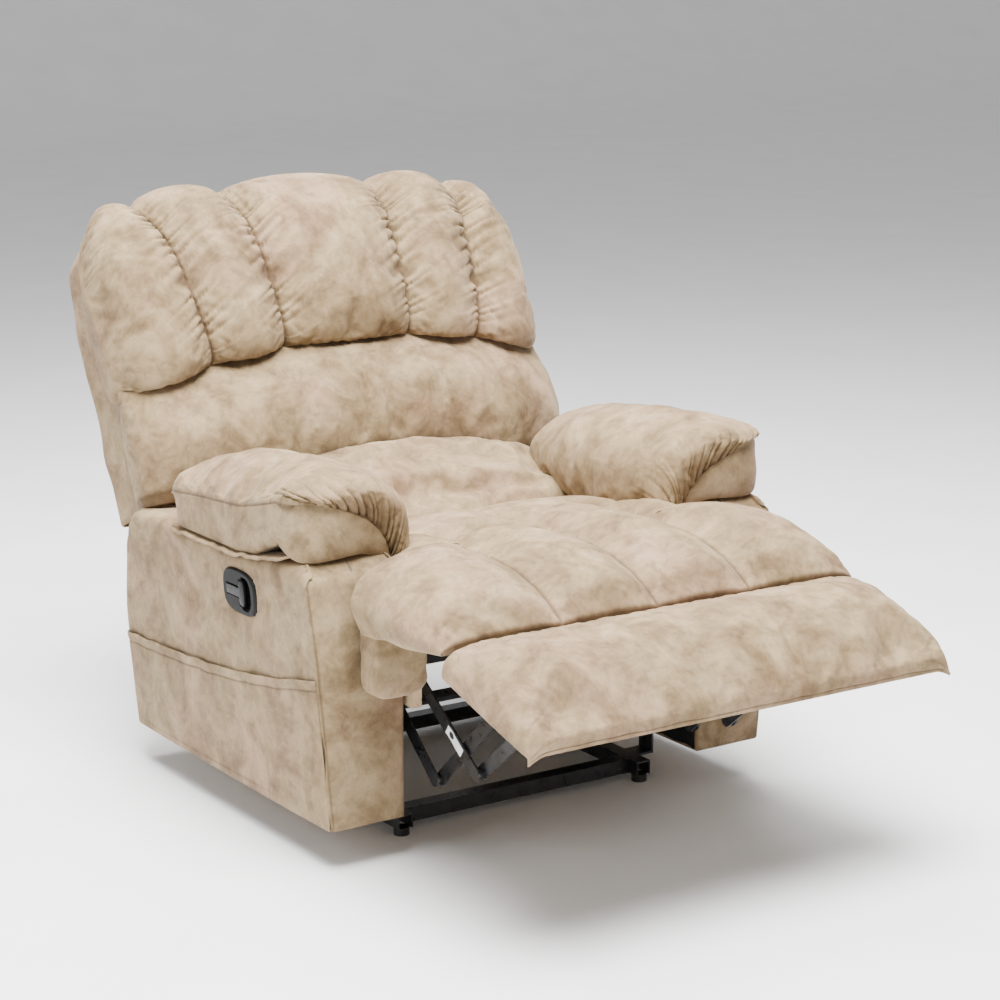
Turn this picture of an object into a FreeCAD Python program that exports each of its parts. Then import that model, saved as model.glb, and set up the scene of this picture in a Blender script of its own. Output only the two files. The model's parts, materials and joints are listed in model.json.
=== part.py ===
import FreeCAD
import Part
import math
import Sketcher
import os

# A manual recliner armchair. Millimetres, +Z up, the chair faces -Y, +X is the sitter's left hand.
# The origin lies on the floor, in the plane of symmetry, midway between the tip of the footrest
# and the rear of the back as the chair is drawn.
# The chair is drawn with its footrest out and its back a little reclined.

SIZES = {
    # the two arms
    "arm_inner": 310, "arm_side": 444, "arm_flare": 488, "arm_front": -245, "arm_rear": 495,
    "arm_bottom": 72, "arm_waist": 300, "arm_shoulder": 430, "arm_top": 500, "arm_wall": 14,
    "arm_slope": 30, "liner_gap": 0.5, "liner_thick": 1.5, "arm_board": 18,
    "pillow_inner": 302, "pillow_outer": 490, "pillow_front": -242, "pillow_rear": 248,
    "pillow_bottom": 502, "pillow_top": 642,
    "pocket_outer": 456, "pocket_wall": 3, "pocket_low": 250, "pocket_high": 338, "pocket_end": 10,
    # the release latch in the outer side of the right arm
    "latch_y": 3, "latch_z": 435, "latch_length": 118, "latch_height": 82, "latch_lip": 4,
    "latch_depth": 16, "latch_rim": 11, "lever_pivot": 36, "lever_thick": 9, "lever_stem": 17,
    "lever_head": 40, "lever_arm": 62,
    # the steel base
    "rail_inner": 241, "rail_width": 30, "rail_bottom": 14, "rail_height": 26, "rail_front": -160,
    "rail_rear": 350, "steel": 3, "foot_radius": 14, "foot_x": 256, "foot_front": -146,
    "foot_rear": 336, "front_bar_y": -135, "rear_bar_y": 300, "bar_width": 30,
    "bracket_width": 40, "bracket_high": 130, "bracket_front": -100, "bracket_rear": 270,
    # planes of the flat steel links, each the inner face, on both sides of the chair
    "plate": 4, "mech_plane": 279.5, "swing_rear_plane": 272.5, "swing_front_plane": 266,
    "lift_rear_plane": 259.5, "lift_front_plane": 253, "footrest_plane": 246.5,
    "link_radius": 12, "hole": 6, "pin": 5.6, "loose_pin": 4.5,
    # pivots of the footrest links: fixed on the seat, between two links, and on the footrest
    "rear_seat_y": -130, "rear_seat_z": 277, "rear_mid_y": -286, "rear_mid_z": 143,
    "rear_foot_y": -541, "rear_foot_z": 380,
    "front_seat_y": -173, "front_seat_z": 341, "front_mid_y": -400, "front_mid_z": 184,
    "front_foot_y": -612, "front_foot_z": 359,
    "tube_along": 30, "tube_off": 35, "tube_size": 16,
    # rockers that carry the seat
    "rocker_length": 110, "rocker_lean": 12.9, "rocker_front": 20, "rocker_rear": 260,
    "rocker_z": 110,
    # seat frame and seat cushion
    "seat_rail_inner": 283.5, "seat_rail": 18, "seat_rail_bottom": 265, "seat_rail_top": 375,
    "seat_rail_front": -260, "seat_rail_rear": 250, "front_rail_y": -282, "front_rail_z": 345,
    "board_thick": 22, "rear_rail_y": 130, "rear_rail_z": 327, "rear_rail_top": 393,
    "seat_frame_half": 300, "cushion_bottom": 400, "cushion_top": 506, "cushion_half": 298,
    "cushion_front": -328, "cushion_rear": 130, "lobe_half": 424, "lobe_rear": -258,
    "lobe_bottom": 437, "ear_inner": 302, "ear_outer": 405, "ear_front": -312, "ear_bottom": 305,
    "spring_z": 384, "spring_half": 26, "spring_turns": 19, "spring_wire": 1.8, "spring_gap": 112,
    # back: hinge on the seat, then widths across, depths u to the rear and heights v along the back
    "back_y": 350, "back_z": 300, "back_lean": 24.5, "stile_inner": 248.5, "stile_width": 24,
    "stile_front": 66, "stile_rear": 116, "stile_foot": -25, "stile_top": 690, "back_rail": 42,
    "wing_outer": 418, "wing_foot": 236, "shell_half": 430, "shell_front": 57, "shell_rear": 150,
    "shell_foot": 214, "shell_bend": 600, "shell_top": 786, "shell_taper": 36, "shell_wall": 6,
    "flap_half": 240,
    "lumbar_half": 294, "lumbar_front": -190, "lumbar_foot": 60, "lumbar_top": 240,
    "shoulder_half": 444, "shoulder_front": -148, "shoulder_foot": 246, "shoulder_top": 418,
    "head_half": 462, "head_front": -96, "head_foot": 424, "head_top": 802, "pad_rear": 55,
    "strap_height": 60, "strap_pitch": 115, "strap_foot": 130,
    # footrest: the rear lower edge of its board, and the calf pad between it and the seat
    "board_y": -550, "board_z": 404, "board_tilt": 15.6, "board_half": 412, "board_length": 220,
    "footboard": 20, "roll_thick": 44, "roll_over": 4.5, "roll_half": 422,
    "calf_y": -535, "calf_z": 452, "calf_tilt": 25, "calf_length": 152, "calf_thick": 44,
    "calf_half": 420,
    # clearances and overshoots
    "flare_over": 2.2, "flare_inset": 2, "cut_past": 10, "cut_lead": 1, "latch_clear": 5,
    "latch_gap": 0.3, "latch_corner": 6, "latch_wall": 2.5, "frame_gap": 2, "frame_side": 3,
    "rocker_head": 18, "pocket_over": 40, "pawl_along": 115, "pawl_up": 8,
}

doc = FreeCAD.newDocument("recliner_armchair")
dims = doc.addObject("Spreadsheet::Sheet", "dims")
for row, (name, size) in enumerate(SIZES.items(), start=1):
    dims.set("A%d" % row, name)
    dims.set("B%d" % row, str(size))
    dims.setAlias("B%d" % row, name)
doc.recompute()

SIDES = (("left", 1), ("right", -1))
PAWL_PIN = ("rear_seat_y+pawl_along", "rear_seat_z+pawl_up")
FULL = "dims."


def full(text):
    """The expression with each word of the sheet written as dims.word."""
    words = sorted(SIZES, key=len, reverse=True)
    pieces, word = [], ""
    for letter in str(text) + " ":
        if letter.isalnum() or letter == "_":
            word += letter
            continue
        pieces.append(FULL + word if word in words else word)
        pieces.append(letter)
        word = ""
    return "".join(pieces).strip()


def number(text):
    """The value of an expression, without its unit."""
    value = dims.evalExpression(full(text))
    return float(getattr(value, "Value", value))


def bind(feature, prop, text):
    feature.setExpression(prop, full(text))


class Frame:
    """A local frame: a place in the YZ plane and a turn about X, all expressions."""

    def __init__(self, y="0", z="0", angle=None):
        self.y, self.z, self.angle = y, z, angle

    def put(self, feature, x="0", y="0", z="0"):
        """Place feature so that its own origin is at x, y, z of this frame."""
        if self.angle is None:
            bind(feature, "Placement.Base.x", x)
            bind(feature, "Placement.Base.y", "(%s)+(%s)" % (self.y, y))
            bind(feature, "Placement.Base.z", "(%s)+(%s)" % (self.z, z))
            return feature
        any_turn = FreeCAD.Rotation(FreeCAD.Vector(1, 0, 0), 1)
        feature.Placement = FreeCAD.Placement(FreeCAD.Vector(), any_turn)
        turn = self.angle
        bind(feature, "Placement.Base.x", x)
        bind(feature, "Placement.Base.y", "(%s)+(%s)*cos(%s)-(%s)*sin(%s)" % (self.y, y, turn, z, turn))
        bind(feature, "Placement.Base.z", "(%s)+(%s)*sin(%s)+(%s)*cos(%s)" % (self.z, y, turn, z, turn))
        bind(feature, "Placement.Rotation.Angle", turn)
        return feature


CHAIR = Frame()
BACK = Frame("back_y", "back_z", "-back_lean")
BOARD = Frame("board_y", "board_z", "board_tilt")
CALF = Frame("calf_y", "calf_z", "calf_tilt")


def across(sign, inner, outer):
    """The X range from inner to outer on the left (sign 1) or right (sign -1) of the chair."""
    return (inner, outer) if sign > 0 else ("-(%s)" % outer, "-(%s)" % inner)


def box(label, x, y, z, frame=CHAIR):
    """A board: x, y and z are pairs of expressions, low and high."""
    board = doc.addObject("Part::Box", label)
    board.Label = label
    bind(board, "Length", "(%s)-(%s)" % (x[1], x[0]))
    bind(board, "Width", "(%s)-(%s)" % (y[1], y[0]))
    bind(board, "Height", "(%s)-(%s)" % (z[1], z[0]))
    return frame.put(board, x[0], y[0], z[0])


def fused(label, pieces):
    """One solid from pieces that touch or overlap."""
    joined = doc.addObject("Part::MultiFuse", label)
    joined.Label = label
    joined.Shapes = pieces
    return joined


def group(label, pieces):
    """Identical pieces kept as separate solids in one node."""
    together = doc.addObject("Part::Compound", label)
    together.Label = label
    together.Links = pieces
    return together


def cylinder(label, radius, height, x, y, z, axis="z"):
    round_bar = doc.addObject("Part::Cylinder", label)
    if axis == "x":
        round_bar.Placement.Rotation = FreeCAD.Rotation(FreeCAD.Vector(0, 1, 0), 90)
    bind(round_bar, "Radius", radius)
    bind(round_bar, "Height", height)
    bind(round_bar, "Placement.Base.x", x)
    bind(round_bar, "Placement.Base.y", y)
    bind(round_bar, "Placement.Base.z", z)
    return round_bar


def new_body(label):
    body = doc.addObject("PartDesign::Body", label)
    body.Label = label
    return body


def sketch_on(body, role, name):
    """A sketch on the body's own origin plane: role is XY_Plane, XZ_Plane or YZ_Plane."""
    plane = [item for item in body.Origin.OriginFeatures if item.Role == role][0]
    sketch = body.newObject("Sketcher::SketchObject", "%s_%s" % (body.Name, name))
    sketch.AttachmentSupport = [(plane, "")]
    sketch.MapMode = "FlatFace"
    return sketch


def fix_point(sketch, line, end, across_text, up_text):
    """Bind one point of a sketch to two expressions, measured from the sketch's origin."""
    for kind, text in (("DistanceX", across_text), ("DistanceY", up_text)):
        index = sketch.addConstraint(Sketcher.Constraint(kind, -1, 1, line, end, number(text)))
        bind(sketch, "Constraints[%d]" % index, text)


def polygon(sketch, points):
    """A closed outline of straight lines through points, pairs of expressions."""
    places = [FreeCAD.Vector(number(a), number(b), 0) for a, b in points]
    first = sketch.GeometryCount
    count = len(places)
    for index, place in enumerate(places):
        sketch.addGeometry(Part.LineSegment(place, places[(index + 1) % count]))
    for index in range(count):
        following = first + (index + 1) % count
        sketch.addConstraint(Sketcher.Constraint("Coincident", first + index, 2, following, 1))
    for index, (a, b) in enumerate(points):
        fix_point(sketch, first + index, 1, a, b)


def circle(sketch, radius, across_text="0", up_text="0"):
    """A circle whose centre and radius are expressions."""
    centre = FreeCAD.Vector(number(across_text), number(up_text), 0)
    index = sketch.addGeometry(Part.Circle(centre, FreeCAD.Vector(0, 0, 1), number(radius)))
    if across_text == "0" and up_text == "0":
        sketch.addConstraint(Sketcher.Constraint("Coincident", index, 3, -1, 1))
    elif up_text == "0":
        sketch.addConstraint(Sketcher.Constraint("PointOnObject", index, 3, -1))
        far = sketch.addConstraint(Sketcher.Constraint("DistanceX", -1, 1, index, 3, centre.x))
        bind(sketch, "Constraints[%d]" % far, across_text)
    else:
        fix_point(sketch, index, 3, across_text, up_text)
    size = sketch.addConstraint(Sketcher.Constraint("Radius", index, number(radius)))
    bind(sketch, "Constraints[%d]" % size, radius)


def slot(sketch, length, radius):
    """A stadium from the sketch's origin to length along its first axis."""
    far, wide = number(length), number(radius)
    up = FreeCAD.Vector(0, 0, 1)
    origin, tip = FreeCAD.Vector(0, 0, 0), FreeCAD.Vector(far, 0, 0)
    quarter = math.pi / 2
    near_arc = sketch.addGeometry(Part.ArcOfCircle(Part.Circle(origin, up, wide), quarter, 3 * quarter))
    low = sketch.addGeometry(Part.LineSegment(FreeCAD.Vector(0, -wide, 0), FreeCAD.Vector(far, -wide, 0)))
    far_arc = sketch.addGeometry(Part.ArcOfCircle(Part.Circle(tip, up, wide), -quarter, quarter))
    high = sketch.addGeometry(Part.LineSegment(FreeCAD.Vector(far, wide, 0), FreeCAD.Vector(0, wide, 0)))
    for one, one_end, other, other_end in ((near_arc, 2, low, 1), (low, 2, far_arc, 1),
                                           (far_arc, 2, high, 1), (high, 2, near_arc, 1)):
        sketch.addConstraint(Sketcher.Constraint("Tangent", one, one_end, other, other_end))
    sketch.addConstraint(Sketcher.Constraint("Coincident", near_arc, 3, -1, 1))
    sketch.addConstraint(Sketcher.Constraint("PointOnObject", far_arc, 3, -1))
    reach = sketch.addConstraint(Sketcher.Constraint("DistanceX", -1, 1, far_arc, 3, far))
    bind(sketch, "Constraints[%d]" % reach, length)
    size = sketch.addConstraint(Sketcher.Constraint("Radius", near_arc, wide))
    bind(sketch, "Constraints[%d]" % size, radius)


def grow(body, sketch, kind, length, low="0"):
    """Pad or Pocket from low to low + length along the sketch's normal; a Pocket must cut."""
    if low != "0":
        bind(sketch, "AttachmentOffset.Base.z", low)
    before = body.Shape.Volume if kind == "Pocket" else 0
    feature = body.newObject("PartDesign::%s" % kind, "%s_%s" % (sketch.Name, kind))
    feature.Profile = sketch
    bind(feature, "Length", length)
    feature.Reversed = kind == "Pocket"
    doc.recompute()
    if kind == "Pocket" and body.Shape.Volume > before - 1:
        raise RuntimeError("%s cuts nothing" % feature.Name)
    return feature


def round_all(body, radius):
    """Round every edge of the body's last feature."""
    doc.recompute()
    block = body.Tip
    fillet = body.newObject("PartDesign::Fillet", "%s_round" % body.Name)
    fillet.Base = (block, ["Edge1"])
    fillet.UseAllEdges = True
    bind(fillet, "Radius", radius)
    doc.recompute()
    return fillet


def cushion(label, x, y, z, radius, frame=CHAIR):
    """A soft block with every edge rounded."""
    body = new_body(label)
    sketch = sketch_on(body, "XY_Plane", "plan")
    polygon(sketch, [(x[0], y[0]), (x[1], y[0]), (x[1], y[1]), (x[0], y[1])])
    grow(body, sketch, "Pad", "(%s)-(%s)" % (z[1], z[0]), z[0])
    round_all(body, radius)
    frame.put(body)
    return body


def plate(label, points, holes, pins, low, thick="plate", frame=CHAIR):
    """A flat plate in the YZ plane: holes are (radius, y, z), pins are (radius, y, z, low, length)."""
    body = new_body(label)
    sketch = sketch_on(body, "YZ_Plane", "outline")
    polygon(sketch, points)
    for radius, y, z in holes:
        circle(sketch, radius, y, z)
    grow(body, sketch, "Pad", thick, low)
    for index, (radius, y, z, pin_low, pin_length) in enumerate(pins):
        spot = sketch_on(body, "YZ_Plane", "pin%d" % index)
        circle(spot, radius, y, z)
        grow(body, spot, "Pad", pin_length, pin_low)
    frame.put(body)
    return body


def turn_of(y_from, z_from, y_to, z_to):
    """The angle about X that takes +Y onto the line between two pivots."""
    return "atan2((%s)-(%s);(%s)-(%s))" % (z_to, z_from, y_to, y_from)


def span_of(y_from, z_from, y_to, z_to):
    """The distance between two pivots."""
    return "sqrt(((%s)-(%s))^2+((%s)-(%s))^2)" % (y_to, y_from, z_to, z_from)


def link(label, sign, plane, start, length, angle, pin_plane=None):
    """A flat link with a hole at each end, or with a pin at its far end out to pin_plane."""
    body = new_body(label)
    sketch = sketch_on(body, "YZ_Plane", "bar")
    slot(sketch, length, "link_radius")
    circle(sketch, "hole")
    if pin_plane is None:
        circle(sketch, "hole", length)
    low = across(sign, plane, "%s+plate" % plane)[0]
    grow(body, sketch, "Pad", "plate", low)
    if pin_plane is not None:
        pin = sketch_on(body, "YZ_Plane", "pin")
        circle(pin, "pin", length)
        ends = across(sign, "%s-1" % pin_plane, plane)
        grow(body, pin, "Pad", "(%s)-(%s)" % (ends[1], ends[0]), ends[0])
    Frame(start[0], start[1], angle).put(body)
    return body


def pin_at(sign, radius, y, z, tip_plane, root_plane="mech_plane"):
    """A pin on a plate, from tip_plane out to the plate's inner face."""
    ends = across(sign, "%s-1" % tip_plane, root_plane)
    return (radius, y, z, ends[0], "(%s)-(%s)" % (ends[1], ends[0]))


# ---------------------------------------------------------------- base: steel frame on the floor

def base_rail(name, sign):
    """A channel, open below, that stands on two feet."""
    body = new_body("base_rail_" + name)
    low, high = across(sign, "rail_inner", "rail_inner+rail_width")
    sketch = sketch_on(body, "XZ_Plane", "section")
    top = "rail_bottom+rail_height"
    polygon(sketch, [(low, "rail_bottom"), ("%s+steel" % low, "rail_bottom"),
                     ("%s+steel" % low, top + "-steel"), ("%s-steel" % high, top + "-steel"),
                     ("%s-steel" % high, "rail_bottom"), (high, "rail_bottom"), (high, top), (low, top)])
    grow(body, sketch, "Pad", "rail_rear-rail_front", "-rail_rear")
    return body


def crossbar(label, y):
    """A square tube between the two rails."""
    body = new_body(label)
    sketch = sketch_on(body, "YZ_Plane", "section")
    for inset in ("0", "steel"):
        low, high = "%s+%s" % (y, inset), "%s+bar_width-%s" % (y, inset)
        bottom, top = "rail_bottom+%s" % inset, "rail_bottom+rail_height-%s" % inset
        polygon(sketch, [(low, bottom), (high, bottom), (high, top), (low, top)])
    grow(body, sketch, "Pad", "2*rail_inner", "-rail_inner")
    return body


def floor_feet():
    """Four plastic feet under the rails."""
    feet = []
    for name, sign in SIDES:
        for place in ("foot_front", "foot_rear"):
            feet.append(cylinder("foot_" + name + place, "foot_radius", "rail_bottom",
                                 "%d*foot_x" % sign, place, "0"))
    return group("floor_feet", feet)


def base_plate(name, sign):
    """An upright plate on the rail that carries the two rockers."""
    low = across(sign, "swing_front_plane", "swing_front_plane+plate")[0]
    front, rear = "rocker_front", "rocker_rear"
    foot = "rail_bottom+rail_height"
    outline = [(front + "-35", foot), (rear + "+45", foot), (rear + "+20", "rocker_z+rocker_head"),
               (rear + "-24", "rocker_z+rocker_head"), (rear + "-60", foot + "+30"),
               (front + "+60", foot + "+30"), (front + "+22", "rocker_z+rocker_head"),
               (front + "-20", "rocker_z+rocker_head")]
    root = "swing_front_plane+plate"
    ends = across(sign, root, "swing_rear_plane+plate+1")
    pins = [("pin", y, "rocker_z", ends[0], "(%s)-(%s)" % (ends[1], ends[0])) for y in (front, rear)]
    return plate("base_plate_" + name, outline, [], pins, low)


def arm_brackets():
    """Two L brackets per side, from the rail out and up to the arm."""
    brackets = []
    for name, sign in SIDES:
        for index, place in enumerate(("bracket_front", "bracket_rear")):
            y = ("%s-bracket_width/2" % place, "%s+bracket_width/2" % place)
            key = "bracket_%s_%d" % (name, index)
            upright = across(sign, "arm_inner-6", "arm_inner-2")
            flat = across(sign, "rail_inner+rail_width", "arm_inner-2")
            foot = "rail_bottom+rail_height"
            brackets.append(fused(key, [
                box(key + "_flat", flat, y, (foot + "-4", foot)),
                box(key + "_up", upright, y, (foot + "-4", "bracket_high"))]))
    return group("arm_brackets", brackets)


def arm_bolts():
    """Hexagon bolts through the brackets into the arm frames."""
    bolts = []
    for name, sign in SIDES:
        for index, place in enumerate(("bracket_front", "bracket_rear")):
            for step in ("-12", "+12"):
                key = "bolt_%s_%d_%s" % (name, index, "a" if step == "-12" else "b")
                head = doc.addObject("Part::Prism", key + "_head")
                head.Polygon = 6
                head.Placement.Rotation = FreeCAD.Rotation(FreeCAD.Vector(0, 1, 0), 90)
                bind(head, "Circumradius", "6")
                bind(head, "Height", "4")
                ends = across(sign, "arm_inner-10", "arm_inner-6")
                bind(head, "Placement.Base.x", ends[0])
                bind(head, "Placement.Base.y", place + step)
                bind(head, "Placement.Base.z", "bracket_high-20")
                bolts.append(head)
    return group("arm_bolts", bolts)


# ---------------------------------------------------------------- base: the two arms

def arm_outline(inset):
    """The side view of an arm, drawn inset from its outer faces."""
    return [("arm_front+%s" % inset, "arm_bottom+%s" % inset),
            ("arm_rear-%s" % inset, "arm_bottom+%s" % inset),
            ("arm_rear-%s" % inset, "arm_waist-40"),
            ("arm_rear-arm_slope-%s" % inset, "arm_shoulder"),
            ("arm_rear-2*arm_slope-%s" % inset, "arm_top-%s" % inset),
            ("arm_front+%s" % inset, "arm_top-%s" % inset)]


def arm_frame(name, sign):
    """Boards behind the arm's padding: bottom, front, rear and top, and one rail for the brackets."""
    y = ("arm_front+arm_wall+frame_gap", "arm_rear-2*arm_slope-arm_wall-frame_gap")
    x = across(sign, "arm_inner+frame_side", "arm_side-arm_wall-frame_gap")
    z = ("arm_bottom+arm_wall+frame_gap", "arm_top-arm_wall-frame_gap")
    inner = across(sign, "arm_inner+frame_side", "arm_inner+frame_side+arm_board")
    boards = [
        box("arm_%s_low" % name, x, y, (z[0], z[0] + "+arm_board")),
        box("arm_%s_high" % name, x, y, (z[1] + "-arm_board", z[1])),
        box("arm_%s_front" % name, x, (y[0], y[0] + "+arm_board"), z),
        box("arm_%s_rear" % name, x, (y[1] + "-arm_board", y[1]), z),
        box("arm_%s_rail" % name, inner, y, (z[0], "bracket_high+20"))]
    return fused("arm_frame_" + name, boards)


def arm_cover(name, sign):
    """Padded upholstery over the front, rear, top, bottom and outer side of an arm."""
    body = new_body("arm_cover_" + name)
    outer = sketch_on(body, "YZ_Plane", "outer")
    polygon(outer, arm_outline("0"))
    low, high = across(sign, "arm_inner", "arm_flare")
    grow(body, outer, "Pad", "(%s)-(%s)" % (high, low), low)
    inner = sketch_on(body, "YZ_Plane", "inner")
    polygon(inner, arm_outline("arm_wall"))
    low, high = across(sign, "arm_inner-cut_lead", "arm_side-arm_wall")
    grow(body, inner, "Pocket", "(%s)-(%s)" % (high, low), low)
    flare = sketch_on(body, "XZ_Plane", "flare")
    far = "%d*(arm_flare+2*cut_past)" % sign
    polygon(flare, [("%d*arm_side" % sign, "arm_bottom-cut_past"), (far, "arm_bottom-cut_past"),
                    (far, "arm_top+cut_past"), ("%d*(arm_flare+flare_over)" % sign, "arm_top+cut_past"),
                    ("%d*arm_side" % sign, "arm_waist")])
    grow(body, flare, "Pocket", "arm_rear-arm_front+2*cut_past", "-arm_rear-cut_past")
    if sign < 0:
        opening = sketch_on(body, "YZ_Plane", "latch")
        half_y = "(latch_length/2-latch_rim+1)"
        half_z = "(latch_height/2-latch_rim+1)"
        polygon(opening, [("latch_y-%s" % half_y, "latch_z-%s" % half_z),
                          ("latch_y+%s" % half_y, "latch_z-%s" % half_z),
                          ("latch_y+%s" % half_y, "latch_z+%s" % half_z),
                          ("latch_y-%s" % half_y, "latch_z+%s" % half_z)])
        grow(body, opening, "Pocket", "arm_flare-arm_side+arm_wall+2*latch_clear", "-arm_flare-latch_clear")
    return body


def arm_liner(name, sign):
    """Black cloth on the inner side of an arm."""
    outline = arm_outline("2")
    low = across(sign, "arm_inner-liner_gap-liner_thick", "arm_inner-liner_gap")[0]
    return plate("arm_liner_" + name, outline, [], [], low, "liner_thick")


def armrest_pillow(name, sign):
    """The soft pillow on top of an arm."""
    return cushion("armrest_pillow_" + name, across(sign, "pillow_inner", "pillow_outer"),
                   ("pillow_front", "pillow_rear"), ("pillow_bottom", "pillow_top"), "34")


def side_pocket(name, sign):
    """A flat pocket on the arm's outer side, open above, with a sloping mouth."""
    body = new_body("side_pocket_" + name)
    front, rear = "arm_front+pocket_end", "arm_rear-pocket_end"
    bottom = "arm_bottom+4"
    panel = sketch_on(body, "YZ_Plane", "panel")
    polygon(panel, [(front, bottom), (rear, bottom), (rear, "pocket_low"), (front, "pocket_high")])
    low, high = across(sign, "arm_side", "pocket_outer")
    grow(body, panel, "Pad", "(%s)-(%s)" % (high, low), low)
    hollow = sketch_on(body, "YZ_Plane", "hollow")
    inset = "pocket_wall"
    polygon(hollow, [("%s+%s" % (front, inset), "%s+%s" % (bottom, inset)),
                     ("%s-%s" % (rear, inset), "%s+%s" % (bottom, inset)),
                     ("%s-%s" % (rear, inset), "pocket_low+pocket_over"),
                     ("%s+%s" % (front, inset), "pocket_high+pocket_over")])
    low, high = across(sign, "arm_side-cut_lead", "pocket_outer-pocket_wall")
    grow(body, hollow, "Pocket", "(%s)-(%s)" % (high, low), low)
    flare = sketch_on(body, "XZ_Plane", "flare")
    polygon(flare, [("%d*(arm_side-flare_inset)" % sign, "arm_waist"), ("%d*arm_side" % sign, "arm_waist"),
                    ("%d*(arm_flare+flare_over)" % sign, "arm_top+cut_past"),
                    ("%d*(arm_side-flare_inset)" % sign, "arm_top+cut_past")])
    grow(body, flare, "Pocket", "arm_rear-arm_front+2*cut_past", "-arm_rear-cut_past")
    return body


# ---------------------------------------------------------------- base: the release latch

FLARE_ANGLE = "atan2(arm_flare+flare_over-arm_side;arm_top+cut_past-arm_waist)"
LATCH_X = "-(arm_side+(latch_z-arm_waist)*tan(%s))" % FLARE_ANGLE


def put_on_flare(body):
    """Lay a piece, drawn with +Z up the arm's side and -X outward, on the right arm's flare."""
    body.Placement = FreeCAD.Placement(FreeCAD.Vector(), FreeCAD.Rotation(FreeCAD.Vector(0, 1, 0), 1))
    bind(body, "Placement.Base.x", LATCH_X)
    bind(body, "Placement.Base.y", "latch_y")
    bind(body, "Placement.Base.z", "latch_z")
    bind(body, "Placement.Rotation.Angle", "-" + FLARE_ANGLE)


def oblong(half_y, half_z):
    """The corners of a rectangle about the middle of a sketch."""
    low_y, low_z = "-" + half_y, "-" + half_z
    return [(low_y, low_z), (half_y, low_z), (half_y, half_z), (low_y, half_z)]


def latch_housing():
    """A rounded plastic plate with a dish for the fingers behind the lever."""
    body = new_body("latch_housing")
    rim = sketch_on(body, "YZ_Plane", "rim")
    half_y, half_z = "latch_length/2", "latch_height/2"
    polygon(rim, oblong(half_y, half_z))
    grow(body, rim, "Pad", "latch_lip", "-latch_lip-latch_gap")
    block = body.Tip
    upright = [index for index, edge in enumerate(block.Shape.Edges, start=1)
               if abs(edge.Vertexes[0].X - edge.Vertexes[1].X) > 1]
    corners = body.newObject("PartDesign::Fillet", "latch_corners")
    corners.Base = (block, ["Edge%d" % index for index in upright])
    bind(corners, "Radius", "latch_height/2-latch_corner")
    doc.recompute()
    tub = sketch_on(body, "YZ_Plane", "tub")
    half_y, half_z = "(latch_length/2-latch_rim)", "(latch_height/2-latch_rim-latch_corner)"
    polygon(tub, oblong(half_y, half_z))
    grow(body, tub, "Pad", "latch_depth", "-latch_gap")
    dish = sketch_on(body, "YZ_Plane", "dish")
    inset = "-latch_wall"
    half_y, half_z = "(%s%s)" % (half_y, inset), "(%s%s)" % (half_z, inset)
    polygon(dish, oblong(half_y, half_z))
    grow(body, dish, "Pocket", "latch_depth+latch_lip", "-latch_lip-latch_wall-latch_gap")
    put_on_flare(body)
    return body


def latch_lever():
    """A T-shaped pull lever, hinged at the rear of the dish."""
    body = new_body("latch_lever")
    sketch = sketch_on(body, "YZ_Plane", "outline")
    rear, front, neck = "lever_pivot+6", "lever_pivot-lever_arm", "lever_pivot-lever_arm+15"
    stem, head = "lever_stem/2", "lever_head/2"
    polygon(sketch, [(rear, "-" + stem), (rear, stem), (neck, stem), (neck, head), (front, head),
                     (front, "-" + head), (neck, "-" + head), (neck, "-" + stem)])
    grow(body, sketch, "Pad", "lever_thick", "-latch_lip-1")
    put_on_flare(body)
    return body


# ---------------------------------------------------------------- seat

def mech_plate(name, sign):
    """The seat's steel side plate, with the pins of the links, the rockers and the back."""
    low = across(sign, "mech_plane", "mech_plane+plate")[0]
    outline = [("front_seat_y-14", "front_seat_z+16"), ("front_seat_y-14", "front_seat_z-12"),
               ("rear_seat_y-20", "rear_seat_z-24"), ("rocker_front-10", "rocker_z+90"),
               ("rocker_rear+50", "rocker_z+90"), ("back_y+22", "back_z-34"),
               ("back_y+26", "back_z+18"), ("back_y-20", "back_z+26"),
               ("rear_seat_y+45", "back_z+26"), ("rear_seat_y-5", "front_seat_z+16")]
    top_y = "+rocker_length*sin(rocker_lean)"
    top_z = "rocker_z+rocker_length*cos(rocker_lean)"
    pins = [pin_at(sign, "pin", "rear_seat_y", "rear_seat_z", "swing_rear_plane"),
            pin_at(sign, "pin", "front_seat_y", "front_seat_z", "swing_front_plane"),
            pin_at(sign, "loose_pin", "rocker_front" + top_y, top_z, "swing_rear_plane"),
            pin_at(sign, "loose_pin", "rocker_rear" + top_y, top_z, "swing_rear_plane"),
            pin_at(sign, "pin", "back_y", "back_z", "swing_rear_plane")]
    if sign < 0:
        pins.append(pin_at(sign, "loose_pin", *PAWL_PIN, "swing_rear_plane"))
    return plate("mech_plate_" + name, outline, [], pins, low)


def lock_pawl():
    """The small hook that the release latch pulls off the right rear link."""
    return link("lock_pawl", -1, "swing_rear_plane", PAWL_PIN, "38", "192")


def seat_side_rail(name, sign):
    """A board outside the side plate."""
    x = across(sign, "seat_rail_inner", "seat_rail_inner+seat_rail")
    return box("seat_side_rail_" + name, x, ("seat_rail_front", "seat_rail_rear"),
               ("seat_rail_bottom", "seat_rail_top"))


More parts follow.
